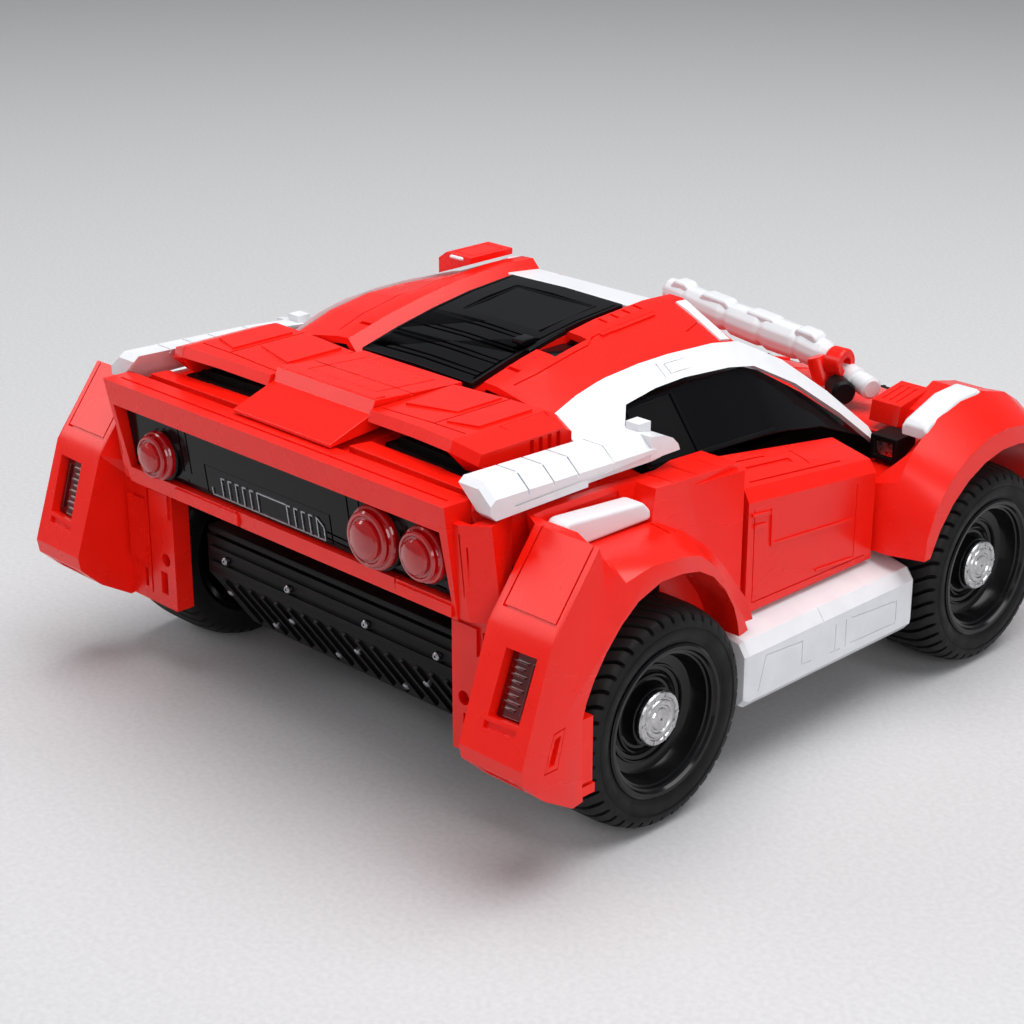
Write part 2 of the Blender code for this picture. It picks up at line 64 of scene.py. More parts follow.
def shader_of(name):
    """A new material with its node tree and its main shader."""
    made = bpy.data.materials.new(name)
    made.use_nodes = True
    return made, made.node_tree, made.node_tree.nodes["Principled BSDF"]


def noise(tree, scale, octaves, stretch=None):
    """Noise in the model's frame; scale is in features per metre."""
    place = tree.nodes.new("ShaderNodeTexCoord")
    source = place.outputs["Object"]
    if stretch:
        mapping = tree.nodes.new("ShaderNodeMapping")
        mapping.inputs["Scale"].default_value = stretch
        tree.links.new(source, mapping.inputs["Vector"])
        source = mapping.outputs["Vector"]
    texture = tree.nodes.new("ShaderNodeTexNoise")
    texture.inputs["Scale"].default_value = scale
    texture.inputs["Detail"].default_value = octaves
    tree.links.new(source, texture.inputs["Vector"])
    return texture.outputs["Fac"]


def ramp(tree, source, low, high, dark, bright):
    """Map a value between low and high to a value or a colour between dark and bright."""
    made = tree.nodes.new("ShaderNodeValToRGB")
    for element, place, colour in zip(made.color_ramp.elements, (low, high), (dark, bright)):
        element.position = place
        element.color = (*colour, 1) if isinstance(colour, tuple) else (colour, colour, colour, 1)
    tree.links.new(source, made.inputs["Fac"])
    return made.outputs["Color"]


def mixed(tree, share, first, second):
    """Blend two colours by a share; each colour is a tuple or a socket."""
    made = tree.nodes.new("ShaderNodeMix")
    made.data_type = "RGBA"
    tree.links.new(share, made.inputs["Factor"])
    for socket, colour in ((made.inputs["A"], first), (made.inputs["B"], second)):
        if isinstance(colour, tuple):
            socket.default_value = (*colour, 1)
        else:
            tree.links.new(colour, socket)
    return made.outputs["Result"]


def edge_wear(tree, start=0.52, end=0.6):
    """A mask of convex edges, from the mesh's pointiness."""
    geometry = tree.nodes.new("ShaderNodeNewGeometry")
    return ramp(tree, geometry.outputs["Pointiness"], start, end, 0.0, 1.0)


def bump(tree, shader, scale, depth, stretch=None):
    """Fine noise in the normal, its depth in mm."""
    made = tree.nodes.new("ShaderNodeBump")
    made.inputs["Distance"].default_value = depth * MM
    tree.links.new(noise(tree, scale, 3.0, stretch), made.inputs["Height"])
    tree.links.new(made.outputs["Normal"], shader.inputs["Normal"])


def plastic(name, colour, shade, roughness, peel=0.006, coat=0.1, pale=None, specular=0.35):
    """Injection-moulded plastic: slight flow marks in the colour, uneven gloss, paler rubbed edges."""
    made, tree, shader = shader_of(name)
    flow = mixed(tree, ramp(tree, noise(tree, 22, 3.0), 0.35, 0.7, 0.0, 1.0), colour, shade)
    pale = pale or tuple(min(1.0, c * 1.25 + 0.03) for c in colour)
    rubbed = tree.nodes.new("ShaderNodeMath")
    rubbed.operation = "MULTIPLY"
    tree.links.new(edge_wear(tree), rubbed.inputs[0])
    tree.links.new(ramp(tree, noise(tree, 160, 6.0), 0.42, 0.6, 0.0, RUBBED_SHARE), rubbed.inputs[1])
    tree.links.new(mixed(tree, rubbed.outputs[0], flow, pale), shader.inputs["Base Color"])
    smears = ramp(tree, noise(tree, 75, 5.0, (1.0, 0.35, 1.0)), 0.3, 0.75, roughness * 0.92, roughness * 1.1)
    tree.links.new(smears, shader.inputs["Roughness"])
    shader.inputs["Coat Weight"].default_value = coat
    shader.inputs["Coat Roughness"].default_value = 0.12
    shader.inputs["Specular IOR Level"].default_value = specular
    bump(tree, shader, 900, peel)
    return made


def rubber(name):
    """Black rubber, greyed by dust where it is worn."""
    made, tree, shader = shader_of(name)
    dust = ramp(tree, noise(tree, 130, 8.0), 0.45, 0.78, (0.004, 0.004, 0.0045), (0.011, 0.0108, 0.0105))
    scuffed = mixed(tree, edge_wear(tree, 0.5, 0.58), dust, (0.018, 0.018, 0.0185))
    tree.links.new(scuffed, shader.inputs["Base Color"])
    tree.links.new(ramp(tree, noise(tree, 240, 5.0), 0.3, 0.7, 0.42, 0.62), shader.inputs["Roughness"])
    shader.inputs["Specular IOR Level"].default_value = 0.16
    bump(tree, shader, 1600, 0.02)
    return made


def metal(name, colour, roughness, scale=500, stretch=None):
    """Bare or plated metal with streaks in its tone and gloss."""
    made, tree, shader = shader_of(name)
    shader.inputs["Metallic"].default_value = 1.0
    tone = ramp(tree, noise(tree, scale, 6.0, stretch), 0.3, 0.75, tuple(0.72 * c for c in colour), colour)
    tree.links.new(tone, shader.inputs["Base Color"])
    gloss = ramp(tree, noise(tree, scale * 1.7, 5.0, stretch), 0.35, 0.7, roughness * 0.7, roughness * 1.5)
    tree.links.new(gloss, shader.inputs["Roughness"])
    bump(tree, shader, scale, 0.03, stretch)
    return made


def lens(name, colour, deep, transmission=0.45):
    """Glossy lamp plastic, part clear, mottled between its colour and a deeper one."""
    made, tree, shader = shader_of(name)
    tone = ramp(tree, noise(tree, 180, 3.0), 0.35, 0.7, deep, colour)
    tree.links.new(tone, shader.inputs["Base Color"])
    tree.links.new(ramp(tree, noise(tree, 300, 4.0), 0.3, 0.7, 0.05, 0.14), shader.inputs["Roughness"])
    shader.inputs["Transmission Weight"].default_value = transmission
    shader.inputs["IOR"].default_value = 1.49
    shader.inputs["Coat Weight"].default_value = 0.8
    shader.inputs["Coat Roughness"].default_value = 0.04
    bump(tree, shader, 500, 0.008)
    return made


MAT = {
    "headlamp_lens": lens("headlamp_lens", (0.85, 0.87, 0.9), (0.6, 0.62, 0.66)),
    "red_plastic": plastic("red_plastic_gloss", (0.84, 0.009, 0.003), (0.81, 0.008, 0.003), 0.27, coat=0.05,
                           pale=(0.95, 0.02, 0.008), specular=0.3),
    "white_plastic": plastic("white_plastic_satin", (0.70, 0.71, 0.735), (0.67, 0.68, 0.71), 0.33, coat=0.05,
                             pale=(0.9, 0.9, 0.92)),
    "black_plastic": plastic("black_plastic_textured", (0.003, 0.003, 0.0035), (0.006, 0.006, 0.0065), 0.4,
                             peel=0.02, coat=0.0, pale=(0.014, 0.014, 0.015), specular=0.12),
    "gloss_black": plastic("gloss_black_panel", (0.0025, 0.0025, 0.003), (0.004, 0.004, 0.005), 0.12,
                           peel=0.003, coat=0.0, pale=(0.012, 0.012, 0.014), specular=0.13),
    "pod_lens": lens("pod_lens_dark", (0.16, 0.001, 0.002), (0.07, 0.0005, 0.001), 0.1),
    "lamp_lens": lens("red_lamp_lens", (0.46, 0.002, 0.004), (0.34, 0.001, 0.002), 0.08),
    "tyre": rubber("tyre_rubber_dusty"),
    "rim_plastic": plastic("rim_black_polished", (0.003, 0.003, 0.0035), (0.006, 0.006, 0.0065), 0.18,
                           peel=0.003, coat=0.05, pale=(0.02, 0.02, 0.022), specular=0.25),
    "chrome": metal("hub_chrome_worn", (0.6, 0.6, 0.61), 0.28),
    "steel": metal("turned_steel", (0.42, 0.42, 0.44), 0.32, 900, (1.0, 0.2, 1.0)),
    "nylon": plastic("natural_nylon", (0.72, 0.69, 0.6), (0.66, 0.62, 0.52), 0.4),
    "battery_wrap": plastic("battery_shrink_wrap", (0.02, 0.08, 0.3), (0.015, 0.06, 0.22), 0.25),
    "circuit_board": plastic("circuit_solder_mask", (0.01, 0.14, 0.05), (0.008, 0.1, 0.04), 0.35),
}


# -------------------------------- mesh helpers

WELD_DISTANCE = 1e-6                     # metres
FLAT_ANGLE = 0.6                         # degrees


def linked(name, mesh, mat):
    """A new object in the scene with one material."""
    made = bpy.data.objects.new(name, mesh)
    bpy.context.scene.collection.objects.link(made)
    mesh.materials.clear()
    mesh.materials.append(mat)
    return made


def lofted(name, rings, mat, closed=False):
    """Join rings of equally many points in mm; the ends are capped unless the loft is closed."""
    bm = bmesh.new()
    rows = [[bm.verts.new(Vector(point) * MM) for point in ring] for ring in rings]
    pairs = list(zip(rows, rows[1:]))
    if closed:
        pairs.append((rows[-1], rows[0]))
    count = len(rows[0])
    for low, high in pairs:
        for i in range(count):
            j = (i + 1) % count
            bm.faces.new((low[i], low[j], high[j], high[i]))
    if not closed:
        bm.faces.new(rows[0])
        bm.faces.new(rows[-1])
    bmesh.ops.recalc_face_normals(bm, faces=bm.faces)
    mesh = bpy.data.meshes.new(name)
    bm.to_mesh(mesh)
    bm.free()
    return linked(name, mesh, mat)


def applied(obj):
    """Turn the object's modifiers into its mesh."""
    bpy.context.view_layer.update()
    done = bpy.data.meshes.new_from_object(obj.evaluated_get(bpy.context.evaluated_depsgraph_get()))
    obj.modifiers.clear()
    obj.data = done
    return obj


def shaded(obj, angle):
    """Smooth shading, but sharp where faces meet at more than an angle in degrees."""
    obj.data.shade_smooth()
    obj.data.set_sharp_from_angle(angle=radians(angle))
    return obj


def combine(obj, tool, operation):
    """Add a boolean modifier; it takes effect when the modifiers are applied."""
    step = obj.modifiers.new(operation.lower(), "BOOLEAN")
    step.operation = operation
    step.object = tool
    step.solver = "EXACT"


def rounded(obj, width, segments, angle=28, smooth=40):
    """Round the edges as a mould does, and let flat faces stay flat in the shading."""
    edge = obj.modifiers.new("rounding", "BEVEL")
    edge.width = width * MM
    edge.segments = segments
    edge.limit_method = "ANGLE"
    edge.angle_limit = radians(angle)
    edge.use_clamp_overlap = True
    applied(obj)
    shaded(obj, smooth)
    level = obj.modifiers.new("flat_faces", "WEIGHTED_NORMAL")
    level.keep_sharp = True
    return applied(obj)


def carve(piece, tool):
    """Cut one tool out of a piece at once."""
    combine(piece, tool, "DIFFERENCE")
    applied(piece)
    bpy.data.objects.remove(tool)


def placed(obj, body, slot=None, *nodes):
    """Let a piece ride on a body and stand in for CAD nodes; the slot argument is not used."""
    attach(obj, body)
    if nodes:
        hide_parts(*nodes)
    return obj


def skin(node, bevel=0.5, cuts=(), joins=(), segments=3, smooth=40):
    """A moulded skin in place of a CAD node: its solid with panel cuts, raised details and rounded edges."""
    piece = linked(f"{node}_skin", frame["nodes"][node].data.copy(), MAT[SLOT_OF[node]])
    bm = bmesh.new()
    bm.from_mesh(piece.data)
    bmesh.ops.remove_doubles(bm, verts=bm.verts, dist=WELD_DISTANCE)
    bmesh.ops.dissolve_limit(bm, angle_limit=radians(FLAT_ANGLE), verts=bm.verts, edges=bm.edges)
    bm.to_mesh(piece.data)
    bm.free()
    for tool in cuts:
        combine(piece, tool, "DIFFERENCE")
    for tool in joins:
        combine(piece, tool, "UNION")
    applied(piece)
    for tool in (*cuts, *joins):
        bpy.data.objects.remove(tool)
    rounded(piece, bevel, segments, smooth=smooth)
    return placed(piece, BODY_OF[node], SLOT_OF[node], node)


def cuboid(low, high, mat=None, name="tool"):
    """A box between two opposite corners."""
    rings = []
    for z in (low[2], high[2]):
        rings.append([(low[0], low[1], z), (high[0], low[1], z), (high[0], high[1], z), (low[0], high[1], z)])
    return lofted(name, rings, mat or MAT["black_plastic"])


def side_box(side, low, high, mat=None, name="tool"):
    """A cuboid given for the left side, built on either side of the car."""
    x0, x1 = sorted((side * low[0], side * high[0]))
    return cuboid((x0, *low[1:]), (x1, *high[1:]), mat, name)


def beam(name, side, section, reach, mat):
    """A section of (y, z) points drawn out between two distances from the car's middle."""
    return lofted(name, [[(side * x, y, z) for y, z in section] for x in reach], mat)


def turned(name, centre, direction, axis, profile, mat, sides, smooth=30):
    """Spin a closed profile of (distance along the axis X or Y, radius) about a centre."""
    rings = []
    for i in range(sides):
        a, b = cos(2 * pi * i / sides), sin(2 * pi * i / sides)
        ring = []
        for along, radius in profile:
            step = direction * along
            offset = (step, radius * a, radius * b) if axis == "X" else (radius * a, step, radius * b)
            ring.append(tuple(c + o for c, o in zip(centre, offset)))
        rings.append(ring)
    return shaded(lofted(name, rings, mat, closed=True), smooth)


def spindle(name, base, direction, profile, mat, sides, smooth=30):
    """A solid of revolution standing on a point: profile of (height, radius) along a direction."""
    n = Vector(direction).normalized()
    side = n.orthogonal().normalized()
    across = n.cross(side)
    rings = []
    for height, radius in profile:
        middle = Vector(base) + n * height
        turns = [2 * pi * i / sides for i in range(sides)]
        rings.append([tuple(middle + (side * cos(a) + across * sin(a)) * radius) for a in turns])
    return shaded(lofted(name, rings, mat), smooth)


# -------------------------------- detail shapes

PLUMB_HEIGHT = 200                       # above every part of the car
DRAPE_STEPS = 4                          # stations on each leg of a draped path
TREES = {}


def sided(side, *points):
    """Points given for the left side, on either side of the car."""
    return [(side * x, y, z) for x, y, z in points]


def flat(side, x, *points):
    """Corners on a side wall from points of (y, z)."""
    return [(side * x, y, z) for y, z in points]


def prism(corners, normal, out, inn, mat=None, name="tool"):
    """A plate on a flat face, standing out of the face and sinking into it."""
    n = Vector(normal).normalized()
    rings = [[tuple(Vector(c) + n * height) for c in corners] for height in (-inn, out)]
    return lofted(name, rings, mat or MAT["black_plastic"])


def moat(corners, normal, width, depth):
    """A cutter for a groove around a panel."""
    n = Vector(normal).normalized()
    middle = sum((Vector(c) for c in corners), Vector()) / len(corners)
    rings = []
    for corner in corners:
        v = Vector(corner)
        inward = (middle - v).normalized() * width
        rings.append([tuple(p) for p in (v + n, v + inward + n, v + inward - n * depth, v - n * depth)])
    return lofted("tool", rings, MAT["black_plastic"], closed=True)


def line(a, b, normal, width, out, inn, mat=None, name="tool"):
    """A narrow straight rib or groove between two points."""
    a, b = Vector(a), Vector(b)
    across = (b - a).normalized().cross(Vector(normal).normalized()) * width / 2
    corners = [tuple(p) for p in (a - across, b - across, b + across, a + across)]
    return prism(corners, normal, out, inn, mat, name)


def surface(node, x, y):
    """The point and normal where a plumb line at x, y first meets a CAD node from above."""
    if node not in TREES:
        mesh = frame["nodes"][node].data
        corners = [tuple(v.co) for v in mesh.vertices]
        TREES[node] = BVHTree.FromPolygons(corners, [tuple(p.vertices) for p in mesh.polygons])
    point, normal, _, _ = TREES[node].ray_cast(Vector((x, y, PLUMB_HEIGHT)) * MM, Vector(DOWN))
    return point / MM, normal


def strip_ring(node, x, y, along, width, out, inn):
    """One section of a draped strip, square to its path and to the surface."""
    point, normal = surface(node, x, y)
    across = along.cross(normal).normalized() * width / 2
    low, high = point - normal * inn, point + normal * out
    return [tuple(p) for p in (low - across, low + across, high + across, high - across)]


def drape(node, path, width, out, inn, mat=None, name="tool"):
    """A strip that follows a CAD node's upper surface along a path of (x, y)."""
    rings = []
    for (x0, y0), (x1, y1) in zip(path, path[1:]):
        along = Vector((x1 - x0, y1 - y0, 0)).normalized()
        for i in range(DRAPE_STEPS):
            t = i / DRAPE_STEPS
            rings.append(strip_ring(node, x0 + (x1 - x0) * t, y0 + (y1 - y0) * t, along, width, out, inn))
    rings.append(strip_ring(node, *path[-1], along, width, out, inn))
    return lofted(name, rings, mat or MAT["black_plastic"])


def detail(obj, slot, bevel, segments=2, body="root"):
    """A separate small moulding, rounded unless it is tiny, and riding on its body."""
    if bevel:
        rounded(obj, bevel, segments)
    return placed(obj, body, slot)


# -------------------------------- wheels

WHEEL_MID, WHEEL_RADIUS, HALF_WHEELBASE = 71.5, 26.0, 61.0
LUGS = 44
GROOVE_DEPTH = 1.35
# Where each lug's sections stand in its pitch, and how much of the groove depth they take.
GROOVE_ROWS = ((-0.15, 0.0), (-0.08, 1.0), (0.0, 1.0), (0.08, 1.0), (0.15, 0.0), (0.5, 0.0))
HALF_TREAD, TREAD_STEP, TREAD_STATIONS = 10.8, 2.16, 11
CROWN_RADIUS, SHOULDER_DROP = 25.95, 1.1
LEAN_REACH = 11.2                        # distance from the tyre's middle where a lug's lean ends
CAP_NOTCHES = 10


def wheel_centre(corner, side):
    """The middle of a wheel."""
    return (side * WHEEL_MID, HALF_WHEELBASE if "rear" in corner else -HALF_WHEELBASE, WHEEL_RADIUS)


def lean(out):
    """How far a lug leans round the tyre at a distance from its middle, in pitches."""
    across = max(-1.0, min(1.0, out / LEAN_REACH))
    return 0.95 * across * abs(across) + 0.35 * across


def tyre(corner, side):
    """A treaded tyre: one section of (distance out, radius, share of the groove depth), turned lug by lug."""
    x, y, z = wheel_centre(corner, side)
    section = [(-10.8, 17.6, 0), (-12.1, 18.4, 0), (-12.5, 20.2, 0), (-12.4, 22.4, 0), (-12.2, 23.4, 0.2),
               (-11.6, 24.3, 0.8)]
    for i in range(TREAD_STATIONS):
        out = TREAD_STEP * i - HALF_TREAD
        section.append((out, CROWN_RADIUS - SHOULDER_DROP * abs(out / HALF_TREAD) ** 4, 1.0))
    section += [(11.6, 24.3, 0.8), (12.2, 23.4, 0.25), (12.4, 22.6, 0), (12.5, 22.0, 0), (12.3, 21.6, 0),
                (12.5, 21.0, 0), (12.4, 19.4, 0), (12.0, 18.7, 0), (11.9, 18.3, 0), (11.4, 17.6, 0)]
    rings = []
    for lug in range(LUGS):
        for pitch, groove in GROOVE_ROWS:
            ring = []
            for out, radius, share in section:
                angle = 2 * pi * (lug + pitch + lean(out)) / LUGS
                r = radius - GROOVE_DEPTH * groove * share
                ring.append((x + side * out, y + r * cos(angle), z + r * sin(angle)))
            rings.append(ring)
    made = shaded(lofted(f"tyre_{corner}_tread", rings, MAT["tyre"], closed=True), 32)
    node = f"tyre_{corner}"
    placed(made, BODY_OF[node], SLOT_OF[node], node)


def rim(corner, side):
    """Stepped dish and a ringed cap with notches round its edge."""
    centre = wheel_centre(corner, side)
    dish = [(-12, 17.4), (-10, 17.5), (11.2, 17.5), (12.0, 17.9), (12.3, 17.4), (12.2, 16.6), (11.5, 16.2),
            (11.3, 15.7), (10.5, 15.5), (10.3, 15.1), (8.0, 14.6), (6.6, 13.8), (6.0, 12.6), (5.9, 11.6),
            (6.3, 11.4), (6.3, 11.0), (5.8, 10.8), (5.6, 10.0), (5.8, 9.5), (6.3, 9.2), (6.4, 8.8),
            (6.1, 8.5), (5.7, 8.2), (5.7, 7.6), (6.6, 7.0), (8.2, 6.8), (8.4, 6.4), (8.4, 2.3), (0.5, 2.3),
            (0.5, 5), (4, 6.6), (4.2, 13.2), (-11, 15.9)]
    node = f"rim_{corner}"
    made = turned(f"{node}_dish", centre, side, "X", dish, MAT["rim_plastic"], 72, 28)
    placed(made, BODY_OF[node], SLOT_OF[node], node)
    cap = [(8.7, 0.3), (8.7, 6.0), (8.9, 6.35), (9.6, 6.4), (10.0, 6.1), (10.15, 5.5), (10.1, 5.2),
           (9.8, 5.0), (9.8, 4.6), (10.15, 4.35), (10.3, 3.9), (10.25, 3.4), (9.9, 3.1), (9.9, 2.7),
           (10.2, 2.4), (10.35, 1.6), (10.4, 0.3)]
    node = f"hub_cap_{corner}"
    made = turned(f"{node}_face", centre, side, "X", cap, MAT["chrome"], 48, 25)
    placed(made, BODY_OF[node], SLOT_OF[node], node)
    out = side * (WHEEL_MID + 9.9)
    for i in range(CAP_NOTCHES):
        angle = 2 * pi * i / CAP_NOTCHES
        start, end = ((out, centre[1] + r * cos(angle), centre[2] + r * sin(angle)) for r in (5.0, 5.9))
        notch = line(start, end, (side, 0, 0), 0.5, 0.35, 0.3, MAT["chrome"], f"{node}_notch_{i}")
        detail(notch, "chrome", 0, body=BODY_OF[node])


# -------------------------------- rear fenders

POD_SLOPE, POD_BACK = (0, 17.5, 13.5), (0, 25, 8.5)      # normals of the pod's upper slope and of its back
POD_SIDE_X, POD_WALL_Y = 87.0, 93.3


def on_slope(side, x, t):
    """A point on the pod's upper slope; t runs from its top edge down to the ridge."""
    return (side * x, 87 + 13.5 * t, 75.5 - 17.5 * t)


def on_back(side, x, t):
    """A point on the pod's back; t runs from the ridge down to the lower chamfer."""
    return (side * x, 100.5 + 8.5 * t, 58 - 25 * t)


def rear_fender(corner, side):
    """Rear arch with its tail pod: panel grooves, lens pocket, lower blocks and marks on the inner wall."""
    out = (side, 0, 0)
    panel = [on_slope(side, x, t) for x, t in ((70.6, -0.05), (85.6, -0.05), (85.6, 0.82), (70.4, 0.82))]
    pocket = [on_back(side, x, t) for x, t in ((75.2, 0.14), (84.0, 0.13), (83.4, 0.68), (74.6, 0.70))]
    ledge = [on_back(side, x, t) for x, t in ((73.9, 0.74), (83.0, 0.72), (83.0, 0.78), (73.9, 0.80))]
    chamfer = [(side * x, 102.5 + 5.9 * t, 24 + 5.5 * t)
               for x, t in ((72.5, 0.25), (83.5, 0.25), (83.5, 0.8), (72.5, 0.8))]
    cuts = [moat(panel, POD_SLOPE, 0.7, 0.8), prism(pocket, POD_BACK, 1, 3.4), prism(ledge, POD_BACK, 1, 0.8),
            prism(chamfer, (0, 5.5, -5.9), 1, 0.7)]
    for y in (53.2, 55.4):
        cuts.append(line((side * 72.2, y, 67.4), (side * 79, y + 1.2, 67.5), UP, 0.45, 1.5, 0.5))
    for y in (31, 39, 47):
        cuts.append(line((side * 63.4, y, 74.2), (side * 71.4, y, 74.2), UP, 0.4, 1.5, 0.5))
    cuts.append(prism(flat(side, 65.8, (58, 70.5), (74, 70.5), (74, 74), (58, 74)), out, 1, 0.8))

    def pad(x0, z0, x1, z1, y=POD_WALL_Y):
        """Corners of an upright rectangle on the pod's inner wall."""
        return sided(side, (x0, y, z0), (x1, y, z0), (x1, y, z1), (x0, y, z1))

    for corners, depth in ((pad(53.4, 23, 56.2, 29), 2), (pad(62.2, 36.5, 65.6, 43, 94.0), 2.4),
                           (pad(59.6, 22, 60.3, 50), 1.2), (pad(61.6, 23, 63, 28), 2.2)):
        cuts.append(prism(corners, BACKWARD, 1, depth))
    hole = ((0, 1.7), (4, 1.7))
    cuts.append(spindle("tool", (side * 53.6, 91, 32.5), BACKWARD, hole, MAT["black_plastic"], 24))
    joins = [prism(pad(60.8, 30, 67.6, 47), BACKWARD, 0.8, 0.6),
             prism(pad(51, 44, 58.4, 50.5), BACKWARD, 0.7, 0.6),
             side_box(side, (78.2, 88.0, 23.4), (86.8, 94, 38.4)),
             side_box(side, (78.2, 87.2, 20.4), (86.8, 91.5, 22.6))]
    wedge = [sided(side, (70.6, 50, z), (73.6, 25.5, z), (70.6, 25.5, z)) for z in (38.4, 72.4)]
    joins.append(lofted("tool", wedge, MAT["red_plastic"]))
    piece = skin(f"rear_fender_{corner}", 0.55, cuts, joins)
    mark = flat(side, POD_SIDE_X, (97.6, 37.4), (99.4, 37.0), (101.4, 31.2), (99.6, 31.2))
    carve(piece, prism(mark, out, 1, 1.2))
    outline = flat(side, POD_SIDE_X, (96.4, 38.8), (99.8, 38.4), (102.6, 29.9), (98.6, 29.9))
    carve(piece, moat(outline, out, 0.4, 0.4))
    pod_lens(corner, side)


def pod_lens(corner, side):
    """Dark lens sunk into the pod's back, with its ribs and an upright bar."""
    name, mat = f"pod_lens_{corner}", MAT["pod_lens"]
    plate = [on_back(side, x, t) for x, t in ((75.4, 0.15), (83.8, 0.14), (83.2, 0.67), (74.8, 0.69))]
    detail(prism(plate, POD_BACK, -2.3, 3.3, mat, name), "lamp_lens", 0.25)
    for i in range(8):
        t = 0.22 + 0.055 * i
        start, end = on_back(side, 76.2, t), on_back(side, 79.6 if i % 2 else 80.4, t)
        detail(line(start, end, POD_BACK, 0.45, -1.8, 2.5, mat, f"{name}_rib_{i}"), "lamp_lens", 0.12)
    start, end = on_back(side, 82.0, 0.2), on_back(side, 81.6, 0.62)
    detail(line(start, end, POD_BACK, 0.6, -1.7, 2.5, mat, f"{name}_bar"), "lamp_lens", 0.15)


def fender_block(corner, side):
    """White block on the shelf beside the rear arch."""
    section = [(54.6, 68.2), (54.6, 70.4), (57.2, 72.9), (80.0, 74.6), (81.6, 73.4), (81.6, 68.2)]
    block = beam(f"fender_block_{corner}", side, section, (66.1, 72.0), MAT["white_plastic"])
    detail(block, "white_plastic", 1.0, 4)


def strut(corner, side):
    """White shoulder strut: grooves over its top and side, a notch, a stud and a rounded front end."""
    cuts = []
    for y in (86, 78.5, 71, 60):
        cuts.append(line((side * 56, y, 84.0), (side * 62, y, 84.0), UP, 0.4, 2, 0.25))
        cuts.append(line((side * 62, y, 84.0), (side * 66, y, 80.8), (side * 3, 0, 4), 0.4, 1.5, 0.25))
    cuts.append(line((side * 66, 60, 79.6), (side * 66, 90, 79.4), (side, 0, 0), 0.5, 1, 0.5))
    cuts.append(side_box(side, (64.2, 40, 76), (67, 68, 79.3)))
    end = [(47, 83.2), (42.4, 82.4), (39.6, 81.2), (37.8, 79.4), (37.2, 77.9), (42, 77.9), (47, 77.9)]
    joins = [side_box(side, (56.4, 42.6, 81), (60.4, 46.4, 84.9)),
             beam("tool", side, end, (55.6, 64.4), MAT["white_plastic"])]
    skin(f"shoulder_strut_{corner}", 0.8, cuts, joins, segments=4)


# -------------------------------- tail

TAIL_LEAN = 0.13
TAIL_BACK = (0, 1, -TAIL_LEAN)


def tail_y(z):
    """Where the bumper's leaning recess lies at a height."""
    return 96 + (z - 54) * TAIL_LEAN


def bumper():
    """Red surround of the tail, with seams, corner grooves and thicker ends on its lower bar."""
    cuts = [line((-57, 100.6, 81), (57, 100.6, 81), UP, 0.7, 1, 0.7)]
    seam_y, end_y = tail_y(56) + 3, tail_y(67) + 2.3
    for x in (15.4, -39):
        cuts.append(line((x, seam_y, 58), (x, seam_y, 53), TAIL_BACK, 0.6, 3, 0.9))
        cuts.append(line((x, 96, 54), (x, 100, 54), DOWN, 0.6, 1, 0.8))
    for side in (-1, 1):
        for x, low, high in ((60.6, 60, 75), (62.0, 62, 72)):
            start, end = sided(side, (x, end_y, low), (x, end_y, high))
            cuts.append(line(start, end, (side * 0.2, 1, 0), 0.4, 2, 0.9))
        start, end = sided(side, (63.4, 99.3, 58), (63.4, 100.3, 74))
        cuts.append(line(start, end, (side * 0.6, 1, 0), 0.6, 3, 0.8))
    joins = [cuboid((15, 97.4, 54.6), (39, 99.9, 57.4)), cuboid((-57, 97.4, 54.6), (-39.6, 99.9, 57.2))]
    skin("rear_bumper", 1.5, cuts, joins, segments=4)


def tail_panel():
    """Black panel between the lamps, with grooves and a blank plate of raised bars."""
    def at(x, z):
        return (x, tail_y(z) + 1.4, z)

    grooves = [((33.6, 73), (33.6, 62)), ((36.4, 73), (36.4, 62)), ((-14, 61.6), (-27, 61)),
               ((-14, 60), (-27, 59.5)), ((-44, 59.8), (-54, 59.6)), ((-24, 74), (-24, 66)),
               ((-28, 74), (-28, 64))]
    cuts = [moat([at(51, 61.2), at(35, 60.2), at(35, 59.4), at(51, 60)], TAIL_BACK, 0.4, 0.4)]
    cuts += [line(at(*a), at(*b), TAIL_BACK, 0.5, 1, 0.5) for a, b in grooves]
    plate = [at(28, 66.2), at(-17.4, 66.2), at(-17.4, 58.9), at(28, 58.9)]
    cuts.append(moat(plate, TAIL_BACK, 0.5, 0.35))
    skin("tail_panel", 0.25, cuts, segments=2)
    fins = (21.6, 19.0, 16.3, 13.7, 11.0, 8.4, -2.2, -4.8, -7.4, -10.0, -12.6)
    hooked = fins[:5] + fins[6:-1]
    bars = [((25.6, 59.3), (-14.9, 59.3)), ((8.4, 64.4), (-2.2, 64.4)), ((25.6, 59.3), (25.6, 61)),
            ((-14.9, 59.3), (-14.9, 62.4)), ((-12.6, 64.4), (-14.9, 62.6))]
    bars += [((x, 59.4), (x, 64.4)) for x in fins]
    bars += [((x, 64.3), (x - 1.3, 64.3)) for x in hooked]
    for i, (a, b) in enumerate(bars):
        bar = line(at(*a), at(*b), TAIL_BACK, 0.36, 0.3, 0.3, MAT["steel"], f"plate_bar_{i}")
        detail(bar, "steel", 0)


